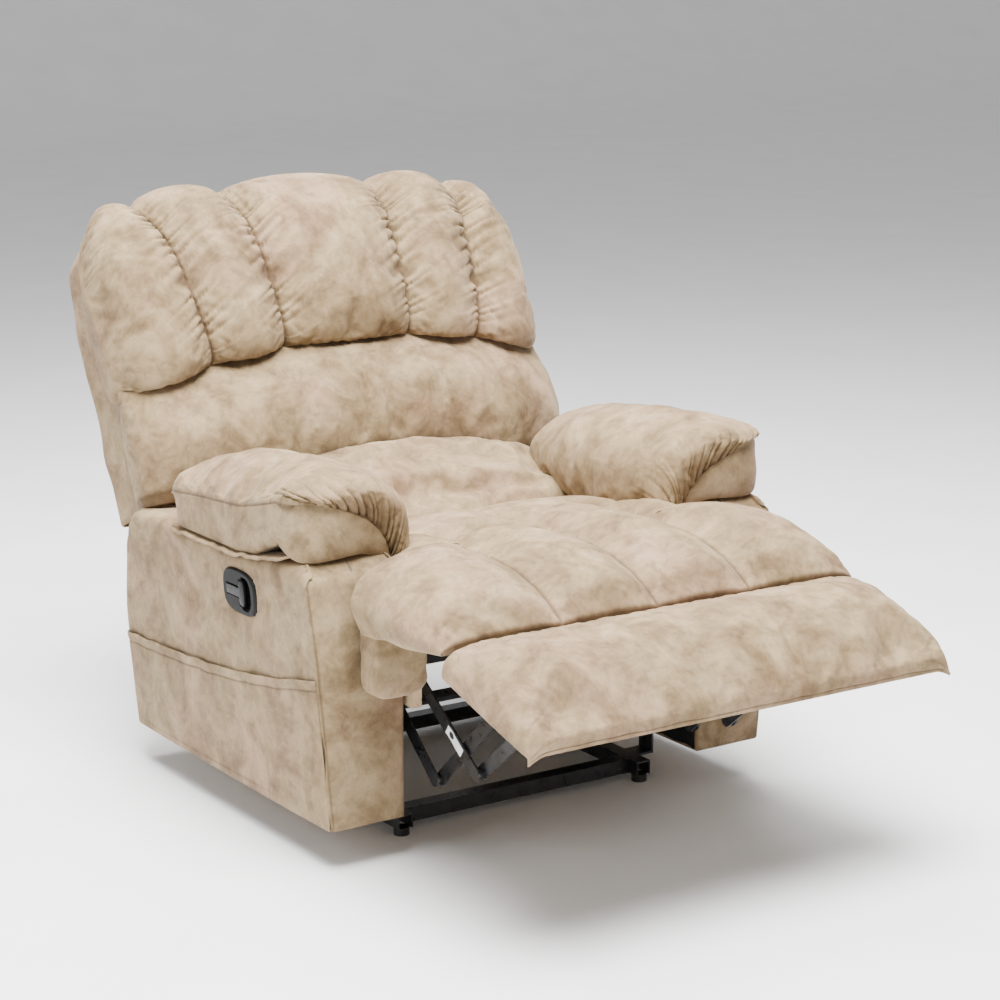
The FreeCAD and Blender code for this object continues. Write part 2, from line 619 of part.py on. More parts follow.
def seat_cushion():
    """The T-shaped seat pad: narrow between the arms, wide in front of them."""
    body = new_body("seat_cushion")
    deep = sketch_on(body, "XY_Plane", "deep")
    polygon(deep, [("-cushion_half", "cushion_front"), ("cushion_half", "cushion_front"),
                   ("cushion_half", "cushion_rear"), ("-cushion_half", "cushion_rear")])
    grow(body, deep, "Pad", "cushion_top-cushion_bottom", "cushion_bottom")
    lobes = sketch_on(body, "XY_Plane", "lobes")
    polygon(lobes, [("-lobe_half", "cushion_front"), ("lobe_half", "cushion_front"),
                    ("lobe_half", "lobe_rear"), ("-lobe_half", "lobe_rear")])
    grow(body, lobes, "Pad", "cushion_top-lobe_bottom", "lobe_bottom")
    round_all(body, "10")
    return body


def seat_springs():
    """Four flat zigzag springs between the front and the rear rail."""
    half, wire, count = number("spring_half"), number("spring_wire"), int(number("spring_turns"))
    start, end = number("front_rail_y+board_thick+spring_wire"), number("rear_rail_y-spring_wire")
    turn = (end - start) / (2 * count)
    springs = []
    for place in (-1.5, -0.5, 0.5, 1.5):
        middle = place * number("spring_gap")
        edges = []
        for step in range(count + 1):
            side = half if step % 2 else -half
            y, y_next = start + 2 * turn * step, start + 2 * turn * (step + 1)
            first = FreeCAD.Vector(middle - side, y, 0)
            last = FreeCAD.Vector(middle + side, y, 0)
            edges.append(Part.LineSegment(first, last).toShape())
            if step == count:
                continue
            bulge = turn if side > 0 else -turn
            apex = FreeCAD.Vector(middle + side + bulge, y + turn, 0)
            edges.append(Part.Arc(last, apex, FreeCAD.Vector(middle + side, y_next, 0)).toShape())
        path = Part.Wire(edges)
        ring = Part.Circle(path.Vertexes[0].Point, FreeCAD.Vector(1, 0, 0), wire).toShape()
        springs.append(path.makePipeShell([Part.Wire([ring])], True, True))
    feature = doc.addObject("Part::Feature", "seat_springs")
    feature.Label = "seat_springs"
    feature.Shape = Part.makeCompound(springs)
    feature.Placement = FreeCAD.Placement(FreeCAD.Vector(0, 0, number("spring_z")), FreeCAD.Rotation())
    return feature


def seat_ear(name, sign):
    """The upholstered block that hangs in front of an arm, under the seat pad."""
    return cushion("seat_ear_" + name, across(sign, "ear_inner", "ear_outer"),
                   ("ear_front", "lobe_rear"), ("ear_bottom", "lobe_bottom-2"), "9")


# ---------------------------------------------------------------- footrest and its links

def swing_link(name, sign, pair, tab=False):
    """The link that hangs from the seat; the rear one has a tab for the torque tube."""
    start = (pair + "_seat_y", pair + "_seat_z")
    middle = (pair + "_mid_y", pair + "_mid_z")
    length = span_of(*start, *middle)
    body = link("%s_swing_link_%s" % (pair, name), sign, "swing_%s_plane" % pair, start, length,
                turn_of(*start, *middle), "lift_%s_plane" % pair)
    if tab:
        sketch = sketch_on(body, "YZ_Plane", "tab")
        low = across(sign, "swing_rear_plane", "swing_rear_plane+plate")[0]
        half = "tube_size/2+2"
        polygon(sketch, [("tube_along-(%s)" % half, "2"), ("tube_along+%s" % half, "2"),
                         ("tube_along+%s" % half, "tube_off+%s" % half),
                         ("tube_along-(%s)" % half, "tube_off+%s" % half)])
        grow(body, sketch, "Pad", "plate", low)
    return body


def lift_link(name, sign, pair):
    """The link between a swing link and the footrest."""
    middle = (pair + "_mid_y", pair + "_mid_z")
    end = (pair + "_foot_y", pair + "_foot_z")
    return link("%s_lift_link_%s" % (pair, name), sign, "lift_%s_plane" % pair, middle,
                span_of(*middle, *end), turn_of(*middle, *end))


def torque_tube():
    """The square tube that joins the two rear swing links, so both sides move as one."""
    turn = turn_of("rear_seat_y", "rear_seat_z", "rear_mid_y", "rear_mid_z")
    frame = Frame("rear_seat_y", "rear_seat_z", turn)
    half = "tube_size/2"
    return box("torque_tube", ("-swing_rear_plane", "swing_rear_plane"),
               ("tube_along-" + half, "tube_along+" + half),
               ("tube_off-" + half, "tube_off+" + half), frame)


def footrest_bracket(name, sign):
    """The angle under the footrest board, with the two pins of the lift links."""
    low = across(sign, "footrest_plane", "footrest_plane+plate")[0]
    turn = "board_tilt"
    outline = [("rear_foot_y+14", "rear_foot_z-10"), ("rear_foot_y-12", "rear_foot_z-16"),
               ("front_foot_y", "front_foot_z-14"), ("front_foot_y-22", "front_foot_z-6"),
               ("front_foot_y-40", "board_z-(board_y-front_foot_y+40)*tan(%s)-1" % turn),
               ("board_y-6", "board_z-6*tan(%s)-1" % turn), ("rear_foot_y+14", "rear_foot_z+18")]
    pins = []
    for pair in ("rear", "front"):
        ends = across(sign, "footrest_plane+plate", "lift_%s_plane+plate+1" % pair)
        length = "(%s)-(%s)" % (ends[1], ends[0])
        pins.append(("loose_pin", pair + "_foot_y", pair + "_foot_z", ends[0], length))
    return plate("footrest_bracket_" + name, outline, [], pins, low)


def rocker(name, sign, place):
    """A short link between the base plate and the seat."""
    start = ("rocker_" + place, "rocker_z")
    return link("seat_rocker_%s_%s" % (place, name), sign, "swing_rear_plane", start,
                "rocker_length", "90-rocker_lean")


# ---------------------------------------------------------------- back

def back_stile(name, sign):
    x = across(sign, "stile_inner", "stile_inner+stile_width")
    return box("back_stile_" + name, x, ("stile_front", "stile_rear"), ("stile_foot", "stile_top"), BACK)


def back_rails():
    """The bottom rail between the stiles and the wide top rail on them."""
    depth = ("stile_front", "stile_rear")
    low = box("back_rail_low", ("-stile_inner", "stile_inner"), depth,
              ("lumbar_foot", "lumbar_foot+back_rail"), BACK)
    high = box("back_rail_high", ("-wing_outer", "wing_outer"), depth,
               ("stile_top", "stile_top+back_rail"), BACK)
    return group("back_rails", [low, high])


def back_wing(name, sign):
    """An L of boards that carries the wide upper part of the back."""
    depth = ("stile_front", "stile_rear")
    side = box("wing_side_" + name, across(sign, "wing_outer-arm_board", "wing_outer"), depth,
               ("wing_foot", "stile_top"), BACK)
    foot = box("wing_foot_" + name, across(sign, "stile_inner+stile_width", "wing_outer-arm_board"),
               depth, ("wing_foot", "wing_foot+back_rail"), BACK)
    return fused("back_wing_" + name, [side, foot])


def back_webbing():
    """Five elastic straps across the front of the stiles."""
    half = "stile_inner+stile_width"
    straps = []
    for step in range(5):
        low = "strap_foot+%d*strap_pitch" % step
        straps.append(box("strap_%d" % step, ("-(%s)" % half, half), ("stile_front-2", "stile_front"),
                          (low, low + "+strap_height"), BACK))
    return group("back_webbing", straps)


def back_bracket(name, sign):
    """The steel plate on a stile that hangs the back on the seat's side plate."""
    low = across(sign, "swing_rear_plane", "swing_rear_plane+plate")[0]
    outline = [("-16", "-12"), ("8", "-18"), ("stile_front+10", "10"), ("stile_rear-4", "50"),
               ("stile_rear-4", "220"), ("stile_front+8", "220"), ("stile_front+8", "68"), ("-12", "16")]
    body = plate("back_bracket_" + name, outline, [], [], low, frame=BACK)
    bore = sketch_on(body, "YZ_Plane", "bore")
    circle(bore, "hole")
    grow(body, bore, "Pocket", "plate+2", low + "-1")
    return body


def back_cover():
    """The outer shell of the back: rear panel, sides and top, open in front, with a narrow flap below."""
    body = new_body("back_cover")
    side = sketch_on(body, "YZ_Plane", "side")
    polygon(side, [("shell_front", "shell_foot"), ("shell_rear", "shell_foot"),
                   ("shell_rear", "shell_bend"), ("shell_rear-shell_taper", "shell_top"),
                   ("shell_front", "shell_top")])
    grow(body, side, "Pad", "2*shell_half", "-shell_half")
    hollow = sketch_on(body, "YZ_Plane", "hollow")
    rear, top = "shell_rear-shell_wall", "shell_top-shell_wall"
    polygon(hollow, [("shell_front-5", "shell_foot-5"), (rear, "shell_foot-5"), (rear, "shell_bend"),
                     (rear + "-shell_taper", top), ("shell_front-5", top)])
    grow(body, hollow, "Pocket", "2*(shell_half-shell_wall)", "-(shell_half-shell_wall)")
    flap = sketch_on(body, "XY_Plane", "flap")
    polygon(flap, [("-flap_half", rear), ("flap_half", rear), ("flap_half", "shell_rear"),
                   ("-flap_half", "shell_rear")])
    grow(body, flap, "Pad", "shell_foot+10-stile_foot", "stile_foot")
    BACK.put(body)
    return body


def back_cushion(label, part, radius):
    return cushion(label, ("-%s_half" % part, part + "_half"), (part + "_front", "pad_rear"),
                   (part + "_foot", part + "_top"), radius, BACK)


# ---------------------------------------------------------------- the whole chair

def build():
    parts = [crossbar("base_front_crossbar", "front_bar_y"), crossbar("base_rear_crossbar", "rear_bar_y"),
             floor_feet(), arm_brackets(), arm_bolts(), latch_housing(), latch_lever(), lock_pawl(),
             seat_cushion(), seat_springs(), torque_tube(), back_rails(), back_webbing(), back_cover(),
             back_cushion("lumbar_cushion", "lumbar", "24"),
             back_cushion("shoulder_cushion", "shoulder", "30"),
             back_cushion("headrest_cushion", "head", "36")]
    front_rail = box("seat_front_rail", ("-seat_frame_half", "seat_frame_half"),
                     ("front_rail_y", "front_rail_y+board_thick"), ("front_rail_z", "cushion_bottom-2"))
    rear_rail = box("seat_rear_rail", ("-seat_rail_inner", "seat_rail_inner"),
                    ("rear_rail_y", "rear_rail_y+board_thick"), ("rear_rail_z", "rear_rail_top"))
    board = box("footrest_board", ("-board_half", "board_half"), ("-board_length", "0"),
                ("0", "footboard"), BOARD)
    roll = cushion("footrest_cushion", ("-roll_half", "roll_half"), ("-board_length-roll_over", "0"),
                   ("footboard+1", "footboard+roll_thick"), "16", BOARD)
    calf = cushion("calf_pad", ("-calf_half", "calf_half"), ("0", "calf_length"), ("-calf_thick", "0"),
                   "14", CALF)
    parts += [front_rail, rear_rail, board, roll, calf]
    parts.append(group("base_plates", [base_plate(name, sign) for name, sign in SIDES]))
    parts.append(group("back_stiles", [back_stile(name, sign) for name, sign in SIDES]))
    per_side = (base_rail, arm_frame, arm_cover, arm_liner, armrest_pillow, side_pocket,
                mech_plate, seat_side_rail, seat_ear, footrest_bracket, back_wing, back_bracket)
    for name, sign in SIDES:
        parts += [make(name, sign) for make in per_side]
        parts += [swing_link(name, sign, "rear", tab=True), swing_link(name, sign, "front")]
        parts += [lift_link(name, sign, pair) for pair in ("rear", "front")]
        parts += [rocker(name, sign, place) for place in ("front", "rear")]
    return parts


def write(parts):
    """Check every object and every sub-part, then write one STEP file per sub-part."""
    doc.recompute()
    for item in doc.Objects:
        if "Invalid" in item.State or "Error" in item.State:
            raise RuntimeError("%s failed" % item.Name)
    for part in parts:
        if part.Shape.isNull() or not part.Shape.isValid():
            raise RuntimeError("%s has a bad shape" % part.Label)
    os.makedirs("parts", exist_ok=True)
    for part in parts:
        part.Shape.exportStep("parts/%s.step" % part.Label)
    print(len(parts), "sub-parts written")


write(build())
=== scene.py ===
import bpy
import json
import math
import numpy as np
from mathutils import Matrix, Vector


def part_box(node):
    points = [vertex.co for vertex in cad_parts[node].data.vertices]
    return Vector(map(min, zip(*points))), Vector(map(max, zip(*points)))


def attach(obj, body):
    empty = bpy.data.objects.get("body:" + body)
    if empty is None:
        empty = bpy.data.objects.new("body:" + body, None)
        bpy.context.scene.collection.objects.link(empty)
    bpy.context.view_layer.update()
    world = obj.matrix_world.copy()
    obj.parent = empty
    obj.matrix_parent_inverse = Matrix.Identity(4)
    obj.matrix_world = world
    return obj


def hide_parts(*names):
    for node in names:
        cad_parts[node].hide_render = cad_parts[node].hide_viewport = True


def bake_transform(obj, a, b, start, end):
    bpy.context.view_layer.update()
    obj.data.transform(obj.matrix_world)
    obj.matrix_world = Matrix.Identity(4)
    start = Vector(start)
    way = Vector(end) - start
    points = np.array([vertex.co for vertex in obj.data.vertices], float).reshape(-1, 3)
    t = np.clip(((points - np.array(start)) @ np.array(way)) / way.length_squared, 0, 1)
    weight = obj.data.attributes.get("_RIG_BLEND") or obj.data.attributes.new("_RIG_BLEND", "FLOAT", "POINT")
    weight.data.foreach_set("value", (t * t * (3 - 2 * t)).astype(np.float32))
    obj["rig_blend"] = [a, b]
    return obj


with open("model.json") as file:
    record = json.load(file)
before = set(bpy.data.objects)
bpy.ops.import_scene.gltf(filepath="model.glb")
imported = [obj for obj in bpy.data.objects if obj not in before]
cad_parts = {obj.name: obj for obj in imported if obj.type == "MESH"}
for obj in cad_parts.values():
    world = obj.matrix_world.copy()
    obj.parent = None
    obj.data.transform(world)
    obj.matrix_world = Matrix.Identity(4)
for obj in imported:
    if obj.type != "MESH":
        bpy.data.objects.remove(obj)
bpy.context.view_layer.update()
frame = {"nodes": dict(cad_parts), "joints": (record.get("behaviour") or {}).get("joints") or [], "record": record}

# ------------------------------------------------------------------ landmarks, all from the frame

JOINT = {joint["name"]: joint for joint in frame["joints"]}
HINGE = np.array(JOINT["recline"]["pos_m"])
CROWN = np.array(JOINT["footrest_fold"]["pos_m"])
LEAN = math.radians(24.5)
BACK_REAR = np.array([0, math.cos(LEAN), -math.sin(LEAN)])
BACK_UP = np.array([0, math.sin(LEAN), math.cos(LEAN)])
SIDES = (("left", 1), ("right", -1))


def span(node):
    low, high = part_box(node)
    return np.array(low, float), np.array(high, float)


ARM_LOW, ARM_HIGH = span("arm_cover_left")
PILLOW_LOW, PILLOW_HIGH = span("armrest_pillow_left")
SEAT_LOW, SEAT_HIGH = span("seat_cushion")
ROLL_LOW, ROLL_HIGH = span("footrest_cushion")
BOARD_LOW, BOARD_HIGH = span("footrest_board")

LATCH = np.array([-0.4806, 0.003, 0.4350])

# ------------------------------------------------------------------ mesh helpers


def back(x, u, v):
    """Points of the back: x across, u to the rear and v up along the back, from its hinge."""
    x, u, v = np.broadcast_arrays(np.asarray(x, float), np.asarray(u, float), np.asarray(v, float))
    places = HINGE + u[..., None] * BACK_REAR + v[..., None] * BACK_UP
    places[..., 0] = x
    return places


def smooth(t, low=0.0, high=1.0):
    """0 before low, 1 after high, smooth between."""
    t = np.clip((np.asarray(t, float) - low) / (high - low), 0, 1)
    return t * t * (3 - 2 * t)


def curve(points, t):
    """A smooth curve through points, each an array of any one shape, at t from 0 to 1."""
    t = np.asarray(t, float)
    points = [np.broadcast_to(np.asarray(p, float), t.shape) for p in points]
    count = len(points) - 1
    place = np.clip(t, 0, 1) * count
    index = np.minimum(place.astype(int), count - 1)
    f = place - index
    padded = np.array([2 * points[0] - points[1]] + points + [2 * points[-1] - points[-2]])
    flat = np.indices(t.shape)
    a, b, c, d = (padded[(index + step,) + tuple(flat)] for step in range(4))
    return 0.5 * (2 * b + (c - a) * f + (2 * a - 5 * b + 4 * c - d) * f ** 2 + (3 * b - a - 3 * c + d) * f ** 3)


def ripple(place, length, seed):
    """An uneven wave about 1 high whose crests are about length apart."""
    rng = np.random.RandomState(seed)
    total = np.zeros(np.shape(place))
    for share in (1.0, 0.73, 1.37, 0.52):
        total += np.sin(2 * np.pi * place / (length * share) + rng.uniform(0, 6.28)) * rng.uniform(0.4, 1.0)
    return total / 1.6


def pleats(place, spacing, seed):
    """Gathers: rounded ridges with sharp valleys, about spacing apart and uneven."""
    phase = place / spacing + 0.35 * ripple(place, 3.1 * spacing, seed)
    return np.abs(np.sin(np.pi * phase)) ** 0.6 - 0.7


def facing(sheet):
    """Unit normals of a grid of points."""
    along = np.gradient(sheet, axis=0)
    up = np.gradient(sheet, axis=1)
    normal = np.cross(along, up)
    return normal / np.maximum(np.linalg.norm(normal, axis=-1, keepdims=True), 1e-9)


def proud(sheet, amount):
    return sheet + facing(sheet) * np.asarray(amount)[..., None]


def new_piece(name, points, faces, seam_and_shade=None, black=None):
    """A mesh object; the optional per-point value from 0 to 1 darkens stitched lines and holds painted shade in
    creases and recesses.
    """
    mesh = bpy.data.meshes.new(name)
    mesh.from_pydata([tuple(p) for p in points], [], faces)
    mesh.validate()
    mesh.polygons.foreach_set("use_smooth", [True] * len(mesh.polygons))
    if seam_and_shade is not None:
        layer = mesh.attributes.new("seam_and_shade", "FLOAT", "POINT")
        layer.data.foreach_set("value", np.asarray(seam_and_shade, np.float32))
    piece = bpy.data.objects.new(name, mesh)
    bpy.context.scene.collection.objects.link(piece)
    return piece


def grid_faces(index, flip=False):
    """Quads over a grid of point numbers."""
    a, b = index[:-1, :-1].ravel(), index[1:, :-1].ravel()
    c, d = index[1:, 1:].ravel(), index[:-1, 1:].ravel()
    quads = np.stack([a, b, c, d], axis=1)
    return (quads[:, ::-1] if flip else quads).tolist()


def bag(name, front, rear, flip=False, **fields):
    """A closed cushion: a front sheet and a rear sheet sewn together along their whole border.

    fields are values over the front sheet that detail() reads once the cushion is stuffed.
    """
    if flip:
        front, rear = front[::-1], rear[::-1]
        fields = {key: value[::-1] for key, value in fields.items()}
    n, m = front.shape[:2]
    front_index = np.arange(n * m).reshape(n, m)
    rear_index = front_index.copy()
    inner = np.zeros((n, m), bool)
    inner[1:-1, 1:-1] = True
    rear_index[inner] = n * m + np.arange(inner.sum())
    points = np.concatenate([front.reshape(-1, 3), rear[inner]])
    faces = grid_faces(front_index) + grid_faces(rear_index, flip=True)
    piece = new_piece(name, points, faces, np.zeros(len(points)))
    fields["shown"] = np.ones((n, m))
    for key, value in fields.items():
        layer = piece.data.attributes.new(key, "FLOAT", "POINT")
        whole = np.zeros(len(points))
        whole[:n * m] = np.broadcast_to(value, (n, m)).ravel()
        layer.data.foreach_set("value", whole.astype(np.float32))
    return piece


def field(piece, name):
    values = np.zeros(len(piece.data.vertices), np.float32)
    piece.data.attributes[name].data.foreach_get("value", values)
    return values.astype(float)


def detail(piece, rule):
    """Raise gathers and mark seams and painted shade: rule takes the fields and gives a height and a darkening value
    per point, for stitched lines and painted shade.
    """
    mesh = piece.data
    names = [layer.name for layer in mesh.attributes if layer.data_type == "FLOAT" and layer.domain == "POINT"]
    fields = {name: field(piece, name) for name in names}
    height, seam_and_shade = rule(fields)
    points = np.zeros(len(mesh.vertices) * 3)
    normals = np.zeros(len(mesh.vertices) * 3)
    mesh.vertices.foreach_get("co", points)
    mesh.vertex_normals.foreach_get("vector", normals)
    lift = (height * smooth(fields["shown"], 0.5, 1.0))[:, None]
    mesh.vertices.foreach_set("co", (points.reshape(-1, 3) + normals.reshape(-1, 3) * lift).ravel())
    # the darkening value stored here is stitched lines plus painted shade in gather valleys, tucked edges and
    # recesses
    mesh.attributes["seam_and_shade"].data.foreach_set("value", (seam_and_shade * (fields["shown"] > 0.5)).astype(np.float32))
    for name in names:
        if name != "seam_and_shade":
            mesh.attributes.remove(mesh.attributes[name])
    mesh.update()


def tube(name, rings, seam_and_shade=None):
    """A closed solid lofted through rings; its ends are closed by their own middle points."""
    n, m = rings.shape[:2]
    index = np.arange(n * m).reshape(n, m)
    looped = np.concatenate([index, index[:, :1]], axis=1)
    faces = grid_faces(looped)
    points = np.concatenate([rings.reshape(-1, 3), rings[0].mean(0)[None], rings[-1].mean(0)[None]])
    first, last = n * m, n * m + 1
    for j in range(m):
        k = (j + 1) % m
        faces.append([first, index[0, k], index[0, j]])
        faces.append([last, index[-1, j], index[-1, k]])
    shade = np.zeros(len(points))
    if seam_and_shade is not None:
        shade[:n * m] = seam_and_shade.ravel()
    return new_piece(name, points, faces, shade)


def modifier(piece, kind, **settings):
    change = piece.modifiers.new(kind.lower(), kind)
    for key, value in settings.items():
        setattr(change, key, value)
    return change


def settle(piece):
    """Apply every modifier, so the mesh is final."""
    graph = bpy.context.evaluated_depsgraph_get()
    final = bpy.data.meshes.new_from_object(piece.evaluated_get(graph))
    piece.modifiers.clear()
    piece.data = final
    return piece


def subdivide(piece, levels=1):
    modifier(piece, "SUBSURF", levels=levels, render_levels=levels)
    return settle(piece)


def stuff(piece, pressure=4.0, grow=0.06, steps=16, cap=0.024):
    """Inflate a cushion as cloth. Its field loose is 0 where it is sewn down and 1 where it is free."""
    before = np.zeros(len(piece.data.vertices) * 3)
    piece.data.vertices.foreach_get("co", before)
    group = piece.vertex_groups.new(name="held")
    held = 1 - field(piece, "loose")
    for weight in np.unique(np.round(held, 2)):
        if weight > 0:
            group.add(np.nonzero(np.round(held, 2) == weight)[0].tolist(), float(weight), "REPLACE")
    cloth = modifier(piece, "CLOTH")
    cloth.settings.quality = 5
    cloth.settings.mass = 0.25
    cloth.settings.tension_stiffness = 12
    cloth.settings.compression_stiffness = 12
    cloth.settings.shear_stiffness = 4
    cloth.settings.bending_stiffness = 0.6
    cloth.settings.air_damping = 4
    cloth.settings.use_pressure = True
    cloth.settings.uniform_pressure_force = pressure
    cloth.settings.shrink_min = -grow
    cloth.settings.vertex_group_mass = "held"
    cloth.settings.pin_stiffness = 1.0
    cloth.settings.effector_weights.gravity = 0
    cloth.collision_settings.use_collision = False
    cloth.point_cache.frame_start = 1
    cloth.point_cache.frame_end = steps
    scene = bpy.context.scene
    for step in range(1, steps + 1):
        scene.frame_set(step)
    settle(piece)
    after = np.zeros_like(before)
    piece.data.vertices.foreach_get("co", after)
    move = (after - before).reshape(-1, 3)
    far = np.linalg.norm(move, axis=1, keepdims=True)
    move *= np.minimum(1, cap / np.maximum(far, 1e-9))
    move[~np.isfinite(move)] = 0
    piece.data.vertices.foreach_set("co", (before.reshape(-1, 3) + move).ravel())
    piece.data.update()
    scene.frame_set(1)
    return piece


def upholster(piece, body, nodes=(), material="suede"):
    """Say what a padded piece is made of, what it moves with and which CAD solids it stands for."""
    piece.data.materials.clear()
    piece.data.materials.append(MATERIAL[material])
    if body:
        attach(piece, body)
    if nodes:
        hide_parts(*nodes)
    return piece


# ------------------------------------------------------------------ materials

MATERIAL = {}


class Nodes:
    """Short calls for building one material."""

    def __init__(self, name):
        self.material = bpy.data.materials.new(name)
        self.material.use_nodes = True
        self.tree = self.material.node_tree
        self.shader = self.tree.nodes["Principled BSDF"]
        MATERIAL[name] = self.material
        self.coordinates = self.tree.nodes.new("ShaderNodeTexCoord").outputs["Object"]

    def link(self, source, target):
        self.tree.links.new(source, target)

    def noise(self, scale, detail=3.0, rough=0.5, distort=0.0, source=None):
        node = self.tree.nodes.new("ShaderNodeTexNoise")
        node.inputs["Scale"].default_value = scale
        node.inputs["Detail"].default_value = detail
        node.inputs["Roughness"].default_value = rough
        node.inputs["Distortion"].default_value = distort
        self.link(source or self.coordinates, node.inputs["Vector"])
        return node.outputs["Fac"]

    def ramp(self, source, *stops):
        node = self.tree.nodes.new("ShaderNodeValToRGB")
        node.color_ramp.elements[0].position = stops[0][0]
        node.color_ramp.elements[1].position = stops[-1][0]
        for place, colour in stops[1:-1]:
            node.color_ramp.elements.new(place)
        for element, (place, colour) in zip(node.color_ramp.elements, stops):
            shade = colour if isinstance(colour, tuple) else (colour,) * 3
            element.color = (*shade, 1)
        self.link(source, node.inputs["Fac"])
        return node.outputs["Color"]

    def mix(self, kind, amount, first, second):
        node = self.tree.nodes.new("ShaderNodeMix")
        node.data_type = "RGBA"
        node.blend_type = kind
        for value, socket in ((amount, node.inputs["Factor"]), (first, node.inputs["A"]), (second, node.inputs["B"])):
            socket = {"Factor": node.inputs[0], "A": node.inputs[6], "B": node.inputs[7]}[socket.name]
            if isinstance(value, (int, float)):
                socket.default_value = value
            elif isinstance(value, tuple):
                socket.default_value = (*value, 1)
            else:
                self.link(value, socket)
        return node.outputs[2]

    def attribute(self, name):
        node = self.tree.nodes.new("ShaderNodeAttribute")
        node.attribute_name = name
        return node.outputs["Fac"]

    def bump(self, height, strength, distance, under=None):
        node = self.tree.nodes.new("ShaderNodeBump")
        node.inputs["Strength"].default_value = strength
        node.inputs["Distance"].default_value = distance
        self.link(height, node.inputs["Height"])
        if under is not None:
            self.link(under, node.inputs["Normal"])
        return node.outputs["Normal"]

    def finish(self, colour, rough, normal=None, **sockets):
        self.link(colour, self.shader.inputs["Base Color"])
        if isinstance(rough, (int, float)):
            self.shader.inputs["Roughness"].default_value = rough
        else:
            self.link(rough, self.shader.inputs["Roughness"])
        if normal is not None:
            self.link(normal, self.shader.inputs["Normal"])
        for name, value in sockets.items():
            self.shader.inputs[name.replace("_", " ")].default_value = value
        return self.material


def suede(name="suede"):
    """Clouded beige faux suede with a short nap; stitched lines are darker, and painted shade darkens gather valleys
    and cushion edges tucked against their neighbours.
    """
    m = Nodes(name)
    cloud = m.noise(11.0, detail=6.0, rough=0.70, distort=0.5)
    patch = m.noise(27.0, detail=6.0, rough=0.70, distort=0.3)
    fleck = m.noise(120.0, detail=3.0, rough=0.6)
    tone = m.ramp(cloud, (0.36, (0.168, 0.108, 0.055)), (0.45, (0.222, 0.151, 0.082)),
                  (0.53, (0.272, 0.192, 0.108)), (0.63, (0.325, 0.236, 0.142)))
    spots = m.ramp(patch, (0.38, (0.64, 0.61, 0.56)), (0.48, (0.87, 0.86, 0.84)), (0.57, (1.0, 1.0, 1.0)))
    tone = m.mix("MULTIPLY", 0.8, tone, spots)
    grain = m.ramp(fleck, (0.36, 0.88), (0.62, 1.0))
    tone = m.mix("MULTIPLY", 0.5, tone, grain)
    pink = m.ramp(m.noise(6.0, detail=3.0), (0.45, (0.985, 1.0, 0.95)), (0.62, (1.03, 0.96, 1.0)))
    tone = m.mix("MULTIPLY", 0.8, tone, pink)
    # painted shade: this multiply darkens stitched lines and also paints shade into gather valleys and tucked cushion
    # edges
    tone = m.mix("MULTIPLY", m.attribute("seam_and_shade"), tone, (0.30, 0.23, 0.17))
    nap = m.noise(900.0, detail=2.0, rough=0.7)
    normal = m.bump(nap, 0.16, 0.0006, m.bump(patch, 0.10, 0.0022))
    rough = m.ramp(patch, (0.35, 0.78), (0.7, 0.9))
    m.finish(tone, rough, normal, Sheen_Weight=0.10, Sheen_Roughness=0.45, Specular_IOR_Level=0.25)
    m.shader.inputs["Sheen Tint"].default_value = (1.0, 0.93, 0.85, 1)


def cloth(name, dark, light, weave=1400.0):
    """Woven cloth with threads both ways."""
    m = Nodes(name)
    wave = m.tree.nodes.new("ShaderNodeTexWave")
    wave.inputs["Scale"].default_value = weave / 6
    wave.inputs["Distortion"].default_value = 0.6
    m.link(m.coordinates, wave.inputs["Vector"])
    speck = m.noise(weave, detail=2.0)
    tone = m.ramp(speck, (0.35, dark), (0.7, light))
    normal = m.bump(wave.outputs["Fac"], 0.3, 0.0004)
    m.finish(tone, 0.92, normal, Specular_IOR_Level=0.15)


def paint(name, dark, light, rough=(0.3, 0.45), metallic=0.0, scale=60.0, bump=0.0002, specular=0.5):
    """Painted or plated metal, or moulded plastic, a little uneven, with painted shade darkening its grooves and
    hollows.
    """
    m = Nodes(name)
    broad = m.noise(scale, detail=4.0, rough=0.55)
    fine = m.noise(scale * 14, detail=2.0)
    tone = m.ramp(broad, (0.35, dark), (0.7, light))
    gloss = m.ramp(broad, (0.3, rough[0]), (0.75, rough[1]))
    # painted shade: darkens grooves and hollows, such as the latch's finger dish and the gap round its lever
    tone = m.mix("MULTIPLY", m.attribute("seam_and_shade"), tone, (0.05, 0.05, 0.05))
    m.finish(tone, gloss, m.bump(fine, 0.25, bump), Metallic=metallic, Specular_IOR_Level=specular)


def wood(name, dark, light, stretch=(3.0, 60.0, 60.0)):
    """Sawn wood with grain along one axis."""
    m = Nodes(name)
    mapping = m.tree.nodes.new("ShaderNodeMapping")
    mapping.inputs["Scale"].default_value = stretch
    m.link(m.coordinates, mapping.inputs["Vector"])
    grain = m.noise(1.6, detail=6.0, rough=0.6, distort=1.2, source=mapping.outputs["Vector"])
    tone = m.ramp(grain, (0.3, dark), (0.5, light), (0.7, tuple(0.85 * c for c in light)))
    m.finish(tone, 0.7, m.bump(grain, 0.3, 0.0008))


